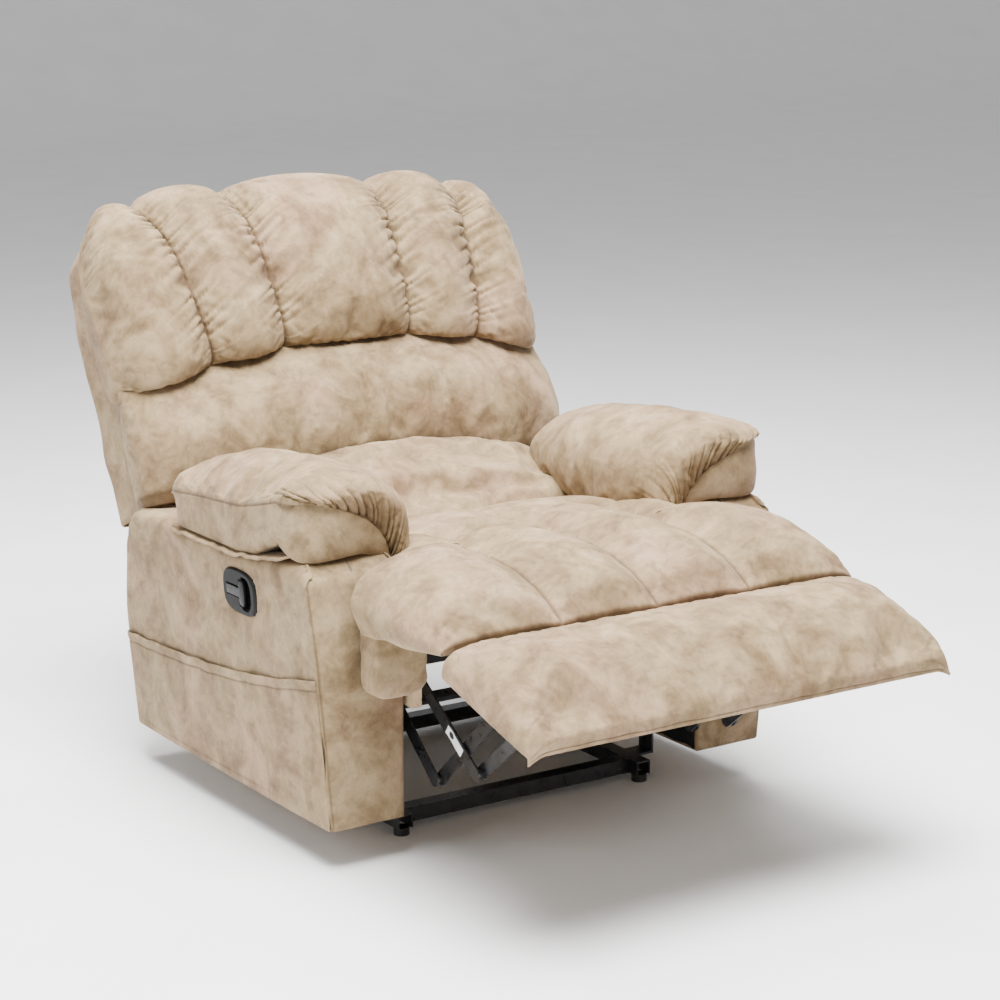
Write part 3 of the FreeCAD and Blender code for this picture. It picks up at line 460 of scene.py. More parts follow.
def make_materials():
    suede()
    cloth("lining", (0.006, 0.006, 0.006), (0.018, 0.018, 0.018))
    cloth("strap", (0.02, 0.02, 0.02), (0.06, 0.06, 0.055), 900.0)
    paint("steel", (0.012, 0.012, 0.013), (0.024, 0.024, 0.026), (0.25, 0.42))
    paint("plastic", (0.009, 0.009, 0.009), (0.013, 0.013, 0.013), (0.50, 0.62), scale=90.0, specular=0.10)
    paint("lever", (0.004, 0.004, 0.004), (0.007, 0.007, 0.007), (0.40, 0.50), scale=90.0, specular=0.15)
    paint("foot", (0.014, 0.014, 0.014), (0.024, 0.024, 0.024), (0.45, 0.6))
    paint("wire", (0.32, 0.32, 0.33), (0.48, 0.48, 0.49), (0.25, 0.4), metallic=1.0)
    paint("zinc", (0.42, 0.42, 0.40), (0.58, 0.58, 0.56), (0.3, 0.45), metallic=1.0)
    paint("paper", (0.72, 0.74, 0.76), (0.84, 0.85, 0.86), (0.55, 0.7), scale=30.0)
    wood("pine", (0.30, 0.19, 0.10), (0.52, 0.37, 0.22), (60.0, 3.0, 60.0))
    wood("ply", (0.20, 0.13, 0.075), (0.36, 0.26, 0.16))


def dress_frame():
    """Give every CAD node that stays its material."""
    wanted = {"black_steel": "steel", "spring_steel": "wire", "zinc_steel": "zinc", "webbing": "strap",
              "pine": "pine", "board": "ply", "foot_plastic": "foot", "latch_plastic": "plastic",
              "lever_plastic": "lever", "black_cloth": "lining", "suede": "suede"}
    slots = {part["node"]: part["material_slot"] for part in frame["record"]["subparts"]}
    slots["footrest_board"] = slots["seat_front_rail"] = "black_cloth"
    for name, node in frame["nodes"].items():
        node.data.materials.clear()
        node.data.materials.append(MATERIAL[wanted[slots[name]]])


# ------------------------------------------------------------------ back cushions

HEAD_SEAM = 0.469
HEAD_DROP = 0.285
HEAD_TOP = 0.785


def head_seam(x):
    """Height of the seam under the headrest."""
    return HEAD_SEAM - HEAD_DROP * x ** 2


def lumbar_seam(x):
    """Height of the seam over the lumbar cushion."""
    return 0.246 - 0.42 * np.minimum(np.abs(x), 0.30) ** 2 + 0.10 * np.maximum(np.abs(x) - 0.30, 0)


def channelled(bounds, counts, height):
    """Columns across channels. Returns x, the place in the channel from 0 to 1, and the channel."""
    xs, fs, ks = [], [], []
    for k, count in enumerate(counts):
        steps = np.arange(count + (1 if k == len(counts) - 1 else 0)) / count
        f = 0.5 * steps + 0.5 * (1 - np.cos(np.pi * steps)) / 2
        low, high = bounds[k](height), bounds[k + 1](height)
        xs.append(low[None] + (high - low)[None] * f[:, None])
        fs.append(np.repeat(f[:, None], len(height), axis=1))
        ks.append(np.full((len(f), len(height)), k))
    return np.concatenate(xs), np.concatenate(fs), np.concatenate(ks)


def headrest():
    t = np.linspace(0, 1, 105)
    up = smooth(t, 0, 0.72)
    side = 0.452 + 0.018 * np.sin(np.pi * np.clip(t / 0.75, 0, 1)) - 0.035 * smooth(t, 0.5, 1.0)
    edges = [-side, -0.291 - 0.052 * up, -0.136 - 0.024 * up, 0.136 + 0.024 * up, 0.291 + 0.052 * up, side]
    x, f, k = channelled([lambda _, e=e: e for e in edges], (34, 30, 50, 30, 34), t)
    tt = np.broadcast_to(t, x.shape)
    low = head_seam(x)
    top = HEAD_TOP - 0.012 * (np.abs(x) / 0.34) ** 2 - 0.05 * (np.abs(x) / 0.46) ** 8
    turn = 0.085 * (np.abs(x) / 0.462) ** 7
    u = curve([-0.083 + turn, -0.104 + turn, -0.106 + turn, -0.092 + turn, -0.070 + turn,
               -0.028 + 0.7 * turn, 0.030 + 0.35 * turn, 0.080, 0.104], tt)
    v = curve([low, low + 0.030, low + 0.33 * (top - low), low + 0.66 * (top - low), top - 0.055,
               top - 0.010, top + 0.002, top - 0.022, top - 0.075], tt)
    middle = (k == 2)
    puff = np.sin(np.pi * f) ** np.where(middle, 0.42, 0.60) * np.where(middle, 0.034, 0.034)
    puff *= np.minimum(1, tt / 0.06) ** 0.55 * np.minimum(1, (1 - tt) / 0.10) ** 0.5
    gap = np.minimum(f, 1 - f) * np.where(middle, 0.29, 0.155)
    outer = side - np.abs(x)
    outside = ((k == 0) & (f < 0.5)) | ((k == 4) & (f > 0.5))
    gap = np.where(outside, 0.155 - gap, gap)
    front = proud(back(x, u, v), puff * np.where(outside, smooth(outer, 0, 0.06) ** 0.5, 1))
    rear_u = curve([-0.083 + turn, 0.030, 0.048, 0.05, 0.104], tt)
    rear_v = curve([low, low + 0.02, (low + top) / 2, top - 0.10, top - 0.075], tt)
    rear = back(x * 0.985, rear_u, rear_v)
    loose = smooth(gap, 0.002, 0.02) * smooth(tt, 0.0, 0.05) * smooth(1 - tt, 0, 0.08) * smooth(outer, 0, 0.02)
    piece = bag("headrest", front, rear, loose=loose, gap=gap, along=tt * 0.62, across=x,
                outer=outer, right=np.where(f > 0.5, 1.0, -1.0), channel=k * 1.0)
    stuff(piece, pressure=3.0, grow=0.05, cap=0.022)
    subdivide(piece)

    def rule(at):
        wave = pleats(at["along"] + 0.45 * at["right"] * at["gap"] + 0.011 * np.round(at["channel"]), 0.0215, 11)
        fade = smooth(at["along"], 0.03, 0.16) * (1 - 0.55 * smooth(at["along"], 0.50, 0.60))
        reach = np.exp(-at["gap"] / 0.027) * smooth(at["gap"], 0, 0.005) * fade
        high = 0.0150 * wave * reach
        rim = pleats(at["along"] + 0.7 * at["outer"], 0.034, 12)
        high += 0.0050 * rim * np.exp(-at["outer"] / 0.040) * smooth(at["outer"], 0, 0.02)
        hem = pleats(at["across"] + 0.3 * at["along"], 0.036, 13)
        high += 0.0034 * hem * np.exp(-at["along"] / 0.024) * smooth(at["along"], 0, 0.010)
        dark = np.maximum(np.exp(-(at["gap"] / 0.0032) ** 2), np.exp(-(at["along"] / 0.004) ** 2))
        # painted shade: besides the seam lines, the valleys of the gathers beside each channel seam are darkened
        return high, np.clip(0.85 * dark + 0.62 * smooth(-wave, 0.3, 0.68) * reach, 0, 0.9)

    detail(piece, rule)
    return upholster(piece, "backrest", ("headrest_cushion",))


def shoulder():
    """The crescent between the headrest and the lumbar cushion, wrapped round to the back's sides."""
    t = np.linspace(0, 1, 66)
    s = np.linspace(-1, 1, 170)
    ss, tt = np.meshgrid(np.abs(s), t, indexing="ij")
    sign = np.sign(s)[:, None]
    sign[sign == 0] = 1
    places = [0.0, 0.20, 0.42, 0.62, 0.78, 0.90, 1.0]
    across = np.interp(ss, places, [0.0, 0.110, 0.236, 0.350, 0.425, 0.462, 0.446])
    swell = 0.010 * np.sin(np.pi * np.clip(tt, 0, 1)) * smooth(ss, 0.5, 0.95)
    depth = np.interp(ss, places, [0.0, 0.003, 0.012, 0.030, 0.064, 0.112, 0.175])
    soft = np.ones(9) / 9
    for row in range(across.shape[1]):
        for values in (across, depth):
            wide = np.concatenate([np.full(4, values[0, row]), values[:, row], np.full(4, values[-1, row])])
            values[4:-4, row] = np.convolve(wide, soft, "valid")[4:-4]
    x = sign * (across + swell)
    low, high = lumbar_seam(x) - 0.02, head_seam(x) + 0.004 + 0.024 * smooth(ss, 0.78, 1.0)
    front_u = curve([-0.112, -0.150, -0.158, -0.146, -0.122, -0.086], tt)
    ends = np.array([0.024, 0.024, 0.018, 0.012, 0.006, 0.0])
    edge_u = curve(list(ends), tt)
    share = depth / 0.175
    u = front_u + (edge_u - front_u) * share
    v = low + (high - low) * tt
    front = back(x, u, v)
    rear = back(x * 0.97, curve([-0.112, 0.045, 0.05, 0.045, -0.086], tt) * (1 - share) + edge_u * share, v)
    from_side = (1 - ss) * 0.5
    down = (high - low) * tt
    up = (high - low) * (1 - tt)
    loose = smooth(tt, 0, 0.12) * smooth(1 - tt, 0, 0.12) * smooth(from_side, 0, 0.03)
    piece = bag("shoulder_band", front, rear, loose=loose, down=down, up=up, across=x, side=from_side)
    stuff(piece, pressure=2.0, grow=0.02)
    subdivide(piece)

    def rule(at):
        high = 0.0030 * pleats(at["across"] + 0.9 * at["down"], 0.085, 21) * np.exp(-at["down"] / 0.040)
        high *= smooth(at["down"], 0, 0.015) * smooth(np.abs(at["across"]), 0.05, 0.2)
        high += 0.0016 * ripple(at["across"] - 0.5 * at["up"], 0.09, 22) * np.exp(-at["up"] / 0.03) * smooth(at["up"], 0, 0.01)
        high += 0.0028 * pleats(at["down"] + 0.5 * at["side"], 0.050, 23) * np.exp(-at["side"] / 0.05) * smooth(at["side"], 0, 0.01)
        # painted shade: the lower strip, where the band meets the lumbar cushion, is darkened, partly as the seam
        # line and partly as shade in the crevice; the top and side lines are stitched seams
        dark = np.maximum(np.exp(-(np.maximum(at["down"] - 0.019, 0) / 0.006) ** 2), np.exp(-(at["up"] / 0.004) ** 2))
        return high, 0.8 * np.maximum(dark, np.exp(-(at["side"] / 0.004) ** 2))

    detail(piece, rule)
    return upholster(piece, "backrest", ("shoulder_cushion",))


def lumbar():
    t = np.linspace(0, 1, 64)
    s = np.linspace(-1, 1, 96)
    x = s[:, None] * np.broadcast_to(0.300 + 0.004 * np.sin(np.pi * t), (96, 64))
    tt = np.broadcast_to(t, x.shape)
    top = lumbar_seam(x) + 0.006
    pull = 0.02 * np.abs(s[:, None]) ** 6
    u = curve([-0.122 + pull, -0.172 + pull, -0.222 + pull, -0.262 + pull, -0.292 + pull, -0.300 + pull,
               -0.262 + pull, -0.17 + pull], tt)
    v = curve([top, top - 0.010, top - 0.045, top - 0.100, 0.105, 0.066, 0.043, 0.046], tt)
    front = back(x, u, v)
    rear = back(x, curve([-0.122 + pull, 0.03, 0.04, 0.02, -0.17 + pull], tt), curve([top, top - 0.02, 0.13, 0.09, 0.046], tt))
    inside = 1 - np.abs(s[:, None]) + 0 * tt
    loose = smooth(tt, 0, 0.1) * smooth(1 - tt, 0, 0.1) * smooth(inside, 0, 0.1)
    piece = bag("lumbar", front, rear, loose=loose, down=tt * 0.42, across=x)
    stuff(piece, pressure=2.0, grow=0.02)
    subdivide(piece)

    def rule(at):
        high = 0.0010 * ripple(at["across"] + 0.3 * at["down"], 0.12, 31) * np.exp(-at["down"] / 0.10)
        high *= smooth(at["down"], 0, 0.02)
        # painted shade: the top strip, where the cushion meets the shoulder band, is darkened, partly as the seam
        # line and partly as shade in the crevice
        return high, 0.8 * np.exp(-(np.maximum(at["down"] - 0.020, 0) / 0.008) ** 2)

    detail(piece, rule)
    return upholster(piece, "backrest", ("lumbar_cushion",))


def back_shell():
    """The cloth outside of the back: both sides, the rear and a narrow flap below."""
    v = np.linspace(0.205, 0.775, 90)
    t = np.linspace(0, 1, 150)
    tt, vv = np.meshgrid(t, v, indexing="ij")
    front = 0.018 - 0.020 * smooth(vv, 0.42, 0.52) + 0.030 * smooth(vv, 0.62, 0.76)
    rear = 0.150 - 0.040 * smooth(vv, 0.56, 0.80) - 0.03 * smooth(vv, 0.74, 0.775)
    wide = 0.434 + 0.006 * smooth(vv, 0.3, 0.6) - 0.05 * smooth(vv, 0.68, 0.785)
    radius = 0.022
    side = rear - radius - front
    arc = radius * math.pi / 2
    total = side + arc + wide - radius
    half = np.abs(2 * tt - 1)
    place = (1 - half) * total
    x = np.where(place < side, wide, 0.0)
    u = front + place
    angle = np.clip((place - side) / arc, 0, 1) * math.pi / 2
    x = np.where(place >= side, wide - radius + radius * np.cos(angle), x)
    u = np.where(place >= side, rear - radius + radius * np.sin(angle), u)
    beyond = np.maximum(place - side - arc, 0)
    x = np.where(place >= side + arc, wide - radius - beyond, x)
    x = x * np.where(tt < 0.5, -1, 1)
    belly = 0.004 * np.sin(np.pi * np.clip(place / side, 0, 1))
    sheet = back(x, u, vv)
    wave = 0.0016 * ripple(vv + 0.5 * u, 0.16, 12) + 0.0012 * ripple(x + 0.4 * vv, 0.2, 13)
    sheet = proud(sheet, belly + wave)
    corner = np.exp(-((place - side - arc * 0.5) / 0.0035) ** 2) * 0.5
    index = np.arange(tt.size).reshape(tt.shape)
    piece = new_piece("back_shell", sheet.reshape(-1, 3), grid_faces(index), corner.ravel())
    modifier(piece, "SOLIDIFY", thickness=0.005, offset=-1)
    settle(piece)
    subdivide(piece)
    return upholster(piece, "backrest", ("back_cover",))


# ------------------------------------------------------------------ seat, calf pad and footrest roll

SEAM_Y = -0.535
ARM_FRONT = -0.259


def seat_half(y):
    """Half width: narrow between the arms, then a rounded lobe in front of each arm."""
    corner = np.clip((y - ARM_FRONT + 0.030) / 0.030, 0, 1)
    lobe = 0.298 + 0.126 * np.sqrt(1 - corner ** 2)
    return np.where(y > ARM_FRONT, 0.298, lobe) - 0.006 * smooth(-y, 0.42, 0.53)


def chaise():
    y = np.concatenate([np.linspace(0.115, -0.20, 44, endpoint=False), np.linspace(-0.20, -0.29, 26, endpoint=False),
                        np.linspace(-0.29, SEAM_Y, 50)])
    half = seat_half(y)
    inner = 0.190 + 0.0 * y
    edges = [-half, -inner, 0 * y, inner, half]
    bounds = [lambda _, e=e: e for e in edges]
    x, f, k = channelled(bounds, (34, 30, 30, 34), y)
    yy = np.broadcast_to(y, x.shape)
    hh = np.broadcast_to(half, x.shape)
    crown = np.interp(-yy, [-0.115, -0.03, 0.06, 0.164, 0.26, 0.34, 0.40, 0.46, 0.50, 0.535],
                      [0.450, 0.476, 0.494, 0.506, 0.512, 0.515, 0.510, 0.493, 0.474, 0.457])
    border = np.interp(-yy, [-0.115, 0.24, 0.27, 0.34, 0.42, 0.535], [0.400, 0.430, 0.440, 0.432, 0.428, 0.440])
    outer = 1 - np.minimum(np.abs(x) / hh, 1) ** (7 + 9 * smooth(yy, -0.27, -0.22))
    z = border + (crown - border) * outer ** 0.42
    start = 0.13 - 0.03 * (np.abs(x) > 0.1)
    opened = smooth(-yy, start - 0.035, start + 0.10)
    sag = np.sin(np.pi * f) ** 0.7
    side_channel = (k == 0) | (k == 3)
    outer_side = np.where(k == 0, f < 0.5, (k == 3) & (f > 0.5))
    puff = np.where(side_channel & outer_side, 1.0, sag) * 0.024
    flat = 0.70 * 0.024
    puff = flat * (1 - opened) + puff * opened + 0.006 * opened
    puff *= smooth(yy - SEAM_Y, -0.012, 0.05) ** 0.6 * outer ** 0.3
    near = np.minimum(f, 1 - f) * 0.2
    near[(side_channel & outer_side)] = 1
    to_seam = yy - SEAM_Y
    rim = hh - np.abs(x)
    top = np.stack([x, yy, z], axis=-1)
    top = proud(top, -puff)
    low = np.interp(-yy, [-0.115, 0.24, 0.27, 0.33, 0.36, 0.44, 0.535], [0.402, 0.405, 0.415, 0.418, 0.425, 0.428, 0.440])
    under = np.stack([x * 0.985, yy, low], axis=-1)
    ends = smooth(rim, 0, 0.03) * smooth(0.115 - yy, 0, 0.04)
    loose = np.where(opened > 0.02, smooth(near, 0.001, 0.02) * smooth(to_seam, 0, 0.03), 1) * ends
    piece = bag("seat_and_calf_pad", top, under, flip=True, loose=loose, near=near, opened=opened,
                seamward=to_seam, rim=rim, across=x, along=-yy)
    stuff(piece, pressure=3.0, grow=0.03)
    subdivide(piece)

    def rule(at):
        wave = pleats(at["along"] + 0.5 * at["near"] + 0.013 * np.sign(at["across"]), 0.024, 41)
        dart = np.exp(-np.abs(at["along"] - 0.16) / 0.07) + 0.25
        high = 0.0042 * wave * np.exp(-at["near"] / 0.018) * smooth(at["near"], 0, 0.005) * at["opened"] * dart
        hem = pleats(at["across"] + 0.25 * at["seamward"], 0.030, 42)
        high += 0.0040 * hem * np.exp(-at["seamward"] / 0.020) * smooth(at["seamward"], 0, 0.008)
        edge = pleats(at["along"] + 0.4 * at["rim"], 0.034, 43)
        high += 0.0060 * edge * np.exp(-at["rim"] / 0.040) * smooth(at["rim"], 0, 0.015) * smooth(at["along"], 0.2, 0.27)
        dark = np.exp(-(at["near"] / 0.0032) ** 2) * at["opened"]
        return high, 0.8 * np.maximum(dark, np.exp(-(at["seamward"] / 0.005) ** 2))

    detail(piece, rule)
    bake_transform(piece, "seat", "footrest", start=(0, CROWN[1] + 0.075, 0.5), end=(0, CROWN[1] - 0.065, 0.5))
    return upholster(piece, None, ("seat_cushion", "calf_pad"))


def roll():
    """The padded board at the front: a wedge of fabric over the footrest board."""
    s = np.linspace(-1, 1, 150)
    s = np.sign(s) * (1 - (1 - np.abs(s)) ** 1.5)
    t = np.linspace(0, 1, 76)
    tt = np.broadcast_to(t, (150, 76))
    half = 0.424
    x = s[:, None] * half * np.ones_like(tt)
    edge = np.minimum(np.abs(x) / half, 1)
    y = curve([-0.536, -0.560, -0.620, -0.690, -0.745, -0.772, -0.780, -0.778], tt)
    z = curve([0.455, 0.463, 0.458, 0.440, 0.419, 0.392, 0.365, 0.343], tt)
    base_y = curve([-0.545, -0.560, -0.620, -0.690, -0.745, -0.765, -0.774, -0.778], tt)
    base_z = np.interp(-base_y, [0.54, 0.554, 0.779], [0.412, 0.405, 0.341])
    round_over = (1 - edge ** 16) ** 0.45
    y = base_y + (y - base_y) * round_over
    z = base_z + (z - base_z) * round_over
    tip = smooth(edge, 0.93, 1) * smooth(tt, 0.8, 1)
    z = z - 0.010 * tip
    x = x * (1 - 0.010 * smooth(tt, 0.05, 0.9)) * (1 + 0.006 * tip)
    rim = (1 - edge) * half
    to_seam = tt * 0.34
    to_front = (1 - tt) * 0.34
    top = np.stack([x, y, z], axis=-1)
    under = np.stack([x * 0.99, base_y, base_z + 0.004 - 0.006 * np.sin(np.pi * tt)], axis=-1)
    loose = smooth(to_seam, 0, 0.03) * smooth(to_front, 0.03, 0.07) * smooth(rim, 0, 0.03)
    piece = bag("footrest_roll", top, under, flip=True, loose=loose, seamward=to_seam, ahead=to_front,
                rim=rim, across=x)
    stuff(piece, pressure=3.0, grow=0.02)
    subdivide(piece)

    def rule(at):
        hem = pleats(at["across"] + 0.2 * at["seamward"], 0.034, 51)
        high = 0.0030 * hem * np.exp(-at["seamward"] / 0.020) * smooth(at["seamward"], 0, 0.008)
        edge = pleats(at["seamward"] + 0.5 * at["rim"], 0.050, 52)
        high += 0.0028 * edge * np.exp(-at["rim"] / 0.05) * smooth(at["rim"], 0.0, 0.015)
        high += 0.0016 * ripple(at["across"] + 0.3 * at["ahead"], 0.11, 53) * np.exp(-at["ahead"] / 0.08) * smooth(at["ahead"], 0, 0.02)
        stitch = np.exp(-((at["ahead"] - 0.017) / 0.0020) ** 2)
        return high - 0.0018 * stitch, 0.8 * np.maximum(np.exp(-(at["seamward"] / 0.005) ** 2), 0.5 * stitch)

    detail(piece, rule)
    return upholster(piece, "footrest", ("footrest_cushion",))


def ear(side, sign):
    """The padded tab that hangs under the seat's front lobe."""
    t = np.linspace(0, 1, 40)
    a = np.linspace(0, 2 * np.pi, 72, endpoint=False)
    tt, aa = np.meshgrid(t, a, indexing="ij")
    shape = np.clip(1 - (1 - np.minimum(tt / 0.22, 1)) ** 2.4, 0, 1) ** 0.42
    cos, sin = np.cos(aa), np.sin(aa)
    px = np.sign(cos) * np.abs(cos) ** 0.32
    py = np.sign(sin) * np.abs(sin) ** 0.42
    x = 0.3555 + 0.0515 * px * shape
    y = -0.2890 + (0.026 * shape + 0.003) * py - 0.003 * np.sin(np.pi * tt) * (py < 0)
    z = 0.303 + 0.142 * tt
    ring = np.stack([sign * x, y, z], axis=-1)
    if sign < 0:
        ring = ring[:, ::-1]
    wave = 0.0015 * ripple(z + 0.4 * x, 0.05, 51 if sign > 0 else 52)
    piece = tube("ear_" + side, ring)
    piece.data.update()
    shift = np.zeros(len(piece.data.vertices) * 3)
    piece.data.vertices.foreach_get("co", shift)
    shift = shift.reshape(-1, 3)
    shift[:wave.size, 1] += wave.ravel()
    piece.data.vertices.foreach_set("co", shift.ravel())
    subdivide(piece)
    return upholster(piece, "seat", ("seat_ear_" + side,))


# ------------------------------------------------------------------ arms


def arm_outside(z):
    """Distance of the arm's outer face from the middle of the chair."""
    return np.interp(z, [0.07, 0.2, 0.34, 0.49, 0.54], [0.450, 0.461, 0.474, 0.484, 0.484])


def arm_top(y):
    return np.interp(y, [-0.25, -0.20, -0.15, -0.05, 0.0, 0.26, 0.36, 0.43, 0.46, 0.50],
                     [0.505, 0.522, 0.520, 0.507, 0.501, 0.500, 0.499, 0.493, 0.474, 0.400])


def arm(side, sign):
    """The upholstered arm body: a tall box of fabric, flared outward, with a seam up its front corner."""
    lengths = []
    loop = []
    front, rear, inside, outside = -0.246, 0.502, 0.3115, 0.0
    y_side = np.concatenate([[front + 0.003, front + 0.006], np.linspace(front + 0.012, rear - 0.03, 110)])
    for y in y_side:
        loop.append((1.0, y, 0.0, 0.0, 0))
    for a in np.linspace(0, np.pi / 2, 9):
        loop.append((1.0, rear - 0.03 + 0.03 * math.sin(a), -0.03 * (1 - math.cos(a)), 0.0, 1))
    for f in np.linspace(0, 1, 24)[1:]:
        loop.append((1.0 - f, rear, -0.03 * (1 - f), 0.0, 2))
    for y in np.linspace(rear - 0.01, front + 0.008, 80):
        loop.append((0.0, y, 0.0, 0.0, 3))
    for f in np.linspace(0, 1, 26):
        loop.append((f, front, -0.002 * (f > 0.98) + 0.004 * (f < 0.02), 0.0, 4))
    loop = np.array(loop)
    w = np.concatenate([np.linspace(0, 0.9, 64), np.linspace(0.9, 1, 16)[1:]])
    share, yy0, nudge, _, face = (loop[:, i] for i in range(5))
    ww, ss = np.meshgrid(w, share, indexing="ij")
    _, yy = np.meshgrid(w, yy0, indexing="ij")
    _, nn = np.meshgrid(w, nudge, indexing="ij")
    _, ff = np.meshgrid(w, face, indexing="ij")
    z = 0.073 + (arm_top(yy) - 0.073) * ww
    out = arm_outside(z)
    lean_back = np.where(yy > 0.4, -0.035 * smooth(z, 0.26, 0.46) * smooth(yy, 0.38, 0.50), 0)
    lean_front = np.where(yy < -0.2, 0.018 * smooth(z, 0.34, 0.52) * smooth(-yy, 0.20, 0.246), 0)
    y = yy + lean_back + lean_front
    x = 0.3115 + (out - 0.3115 + nn) * ss
    x = np.where(ss > 0.99, out + nn, x)
    belly = np.sin(np.pi * np.clip((yy + 0.25) / 0.75, 0, 1)) ** 0.5 * np.sin(np.pi * np.clip(ww, 0, 1)) ** 0.5
    x = x + 0.005 * belly * (ff == 0) * (1 - smooth(z, 0.30, 0.40))
    y = y - 0.004 * np.sin(np.pi * ss) * np.sin(np.pi * ww) ** 0.5 * (ff == 4)
    y = y + 0.005 * np.sin(np.pi * ss) * np.sin(np.pi * ww) ** 0.5 * (ff == 2)
    seed = 60 if sign > 0 else 65
    from_corner = np.abs(yy + 0.246)
    pleat = 0.0026 * ripple(z * 1.0 + 0.9 * from_corner, 0.036, seed) * np.exp(-from_corner / 0.05)
    pleat *= smooth(z, 0.36, 0.46)
    cast = 0.0014 * ripple(yy + 0.7 * z, 0.17, seed + 1) + 0.0011 * ripple(z - 0.5 * yy, 0.14, seed + 2)
    plate = np.exp(-(((yy - LATCH[1]) / 0.085) ** 4 + ((z - LATCH[2]) / 0.060) ** 4))
    well = smooth(1.1 - ((yy - LATCH[1]) / 0.053) ** 4 - ((z - LATCH[2]) / 0.036) ** 4, 0, 0.5) * (sign < 0)
    x = x + (pleat + cast) * (ff == 0) * (1 - plate) - 0.020 * well * (ff == 0)
    y = y + 0.0014 * ripple(z + 0.5 * x, 0.11, seed + 3) * (ff == 4) * np.sin(np.pi * ss)
    rounded = np.clip((ww - 0.955) / 0.045, 0, 1)
    pull = 0.014 * (1 - np.sqrt(1 - rounded ** 2))
    x = x - pull * np.where(ss > 0.5, 1, -0.0)
    y = y + pull * np.where(ff == 4, 1, 0) - pull * np.where((ff == 2) | (ff == 1), 1, 0)
    rings = [np.stack([x, y, z], axis=-1)]
    last = rings[0][-1]
    middle = np.array([[0.395, 0.0, 0.0]])
    for shrink in (0.93, 0.75, 0.45, 0.15):
        ring = last.copy()
        ring[:, 0] = 0.395 + (last[:, 0] - 0.395) * shrink
        ring[:, 1] = 0.12 + (last[:, 1] - 0.12) * (1 - (1 - shrink) * 0.9)
        ring[:, 2] = arm_top(ring[:, 1]) + 0.002
        rings.append(ring[None])
    rings = np.concatenate(rings)
    seam_and_shade = np.zeros(rings.shape[:2])
    seam_and_shade[:len(w)] = 0.75 * ((face == 4) & (share > 0.99))[None]
    rings[..., 0] *= sign
    if sign > 0:
        rings, seam_and_shade = rings[:, ::-1], seam_and_shade[:, ::-1]
    piece = tube("arm_" + side, rings, seam_and_shade)
    return upholster(piece, "base", ("arm_cover_" + side,))


def pocket_mouth(y):
    return np.interp(y, [-0.235, -0.12, 0.0, 0.144, 0.30, 0.495], [0.338, 0.312, 0.292, 0.275, 0.264, 0.252])


def pocket(side, sign):
    """The outer fabric of the side pocket, open along its upper edge."""
    y = np.linspace(-0.243, 0.497, 150)
    w = np.concatenate([np.linspace(0, 0.88, 40), np.linspace(0.88, 1, 18)[1:]])
    yy, ww = np.meshgrid(y, w, indexing="ij")
    seed = 80 if sign > 0 else 85
    mouth = pocket_mouth(yy) + 0.0009 * ripple(yy, 0.12, seed)
    z = 0.072 + (mouth - 0.072) * ww
    ends = smooth(yy, -0.243, -0.20) * smooth(0.497 - yy, 0, 0.05)
    slack = 0.0032 + 0.0025 * ends * smooth(ww, 0.5, 1.0) + 0.002 * ends * np.sin(np.pi * ww)
    slack += 0.0012 * ripple(yy + 0.6 * z, 0.16, seed + 1) * ends * smooth(ww, 0.2, 1)
    slack += 0.0007 * ripple(yy - 0.2 * z, 0.06, seed + 2) * ends * smooth(ww, 0.82, 1)
    below = (mouth - z)
    slack += 0.0016 * np.exp(-((below - 0.006) / 0.006) ** 2) - 0.0012 * np.exp(-((below - 0.018) / 0.0016) ** 2)
    round_rear = 0.026 * (1 - np.sqrt(1 - smooth(yy, 0.46, 0.497) ** 2 * 0.98))
    belly = 0.005 * np.sin(np.pi * np.clip((yy + 0.25) / 0.75, 0, 1)) ** 0.5
    x = arm_outside(z) + belly + slack - round_rear
    seam_and_shade = 0.7 * np.exp(-((below - 0.018) / 0.0016) ** 2) + 0.5 * np.exp(-((z - 0.086) / 0.0016) ** 2)
    points = np.stack([sign * x, yy, z], axis=-1).reshape(-1, 3)
    piece = new_piece("pocket_" + side, points, grid_faces(np.arange(x.size).reshape(x.shape), flip=sign < 0), seam_and_shade.ravel())
    modifier(piece, "SOLIDIFY", thickness=0.0028, offset=-1)
    settle(piece)
    subdivide(piece)
    return upholster(piece, "base", ("side_pocket_" + side,))


def lining(side, sign):
    """Black cloth stretched over the inner face of the arm, a little slack between its staples."""
    y = np.linspace(-0.240, 0.490, 90)
    z = np.linspace(0.076, 0.494, 60)
    yy, zz = np.meshgrid(y, z, indexing="ij")
    low_edge = 0.0035 * np.abs(np.sin(np.pi * yy / 0.06)) * np.exp(-(zz - 0.076) / 0.03)
    top = np.minimum(zz, arm_top(yy) - 0.012)
    x = 0.3092 - 0.0012 * np.clip(ripple(yy + 0.3 * zz, 0.12, 91), -1, 1) * np.sin(np.pi * np.clip((zz - 0.07) / 0.42, 0, 1))
    points = np.stack([sign * x, yy * 1.0, top + low_edge], axis=-1).reshape(-1, 3)
    piece = new_piece("arm_lining_" + side, points, grid_faces(np.arange(yy.size).reshape(yy.shape), flip=sign > 0))
    modifier(piece, "SOLIDIFY", thickness=0.0008, offset=0)
    settle(piece)
    return upholster(piece, "base", ("arm_liner_" + side,), material="lining")


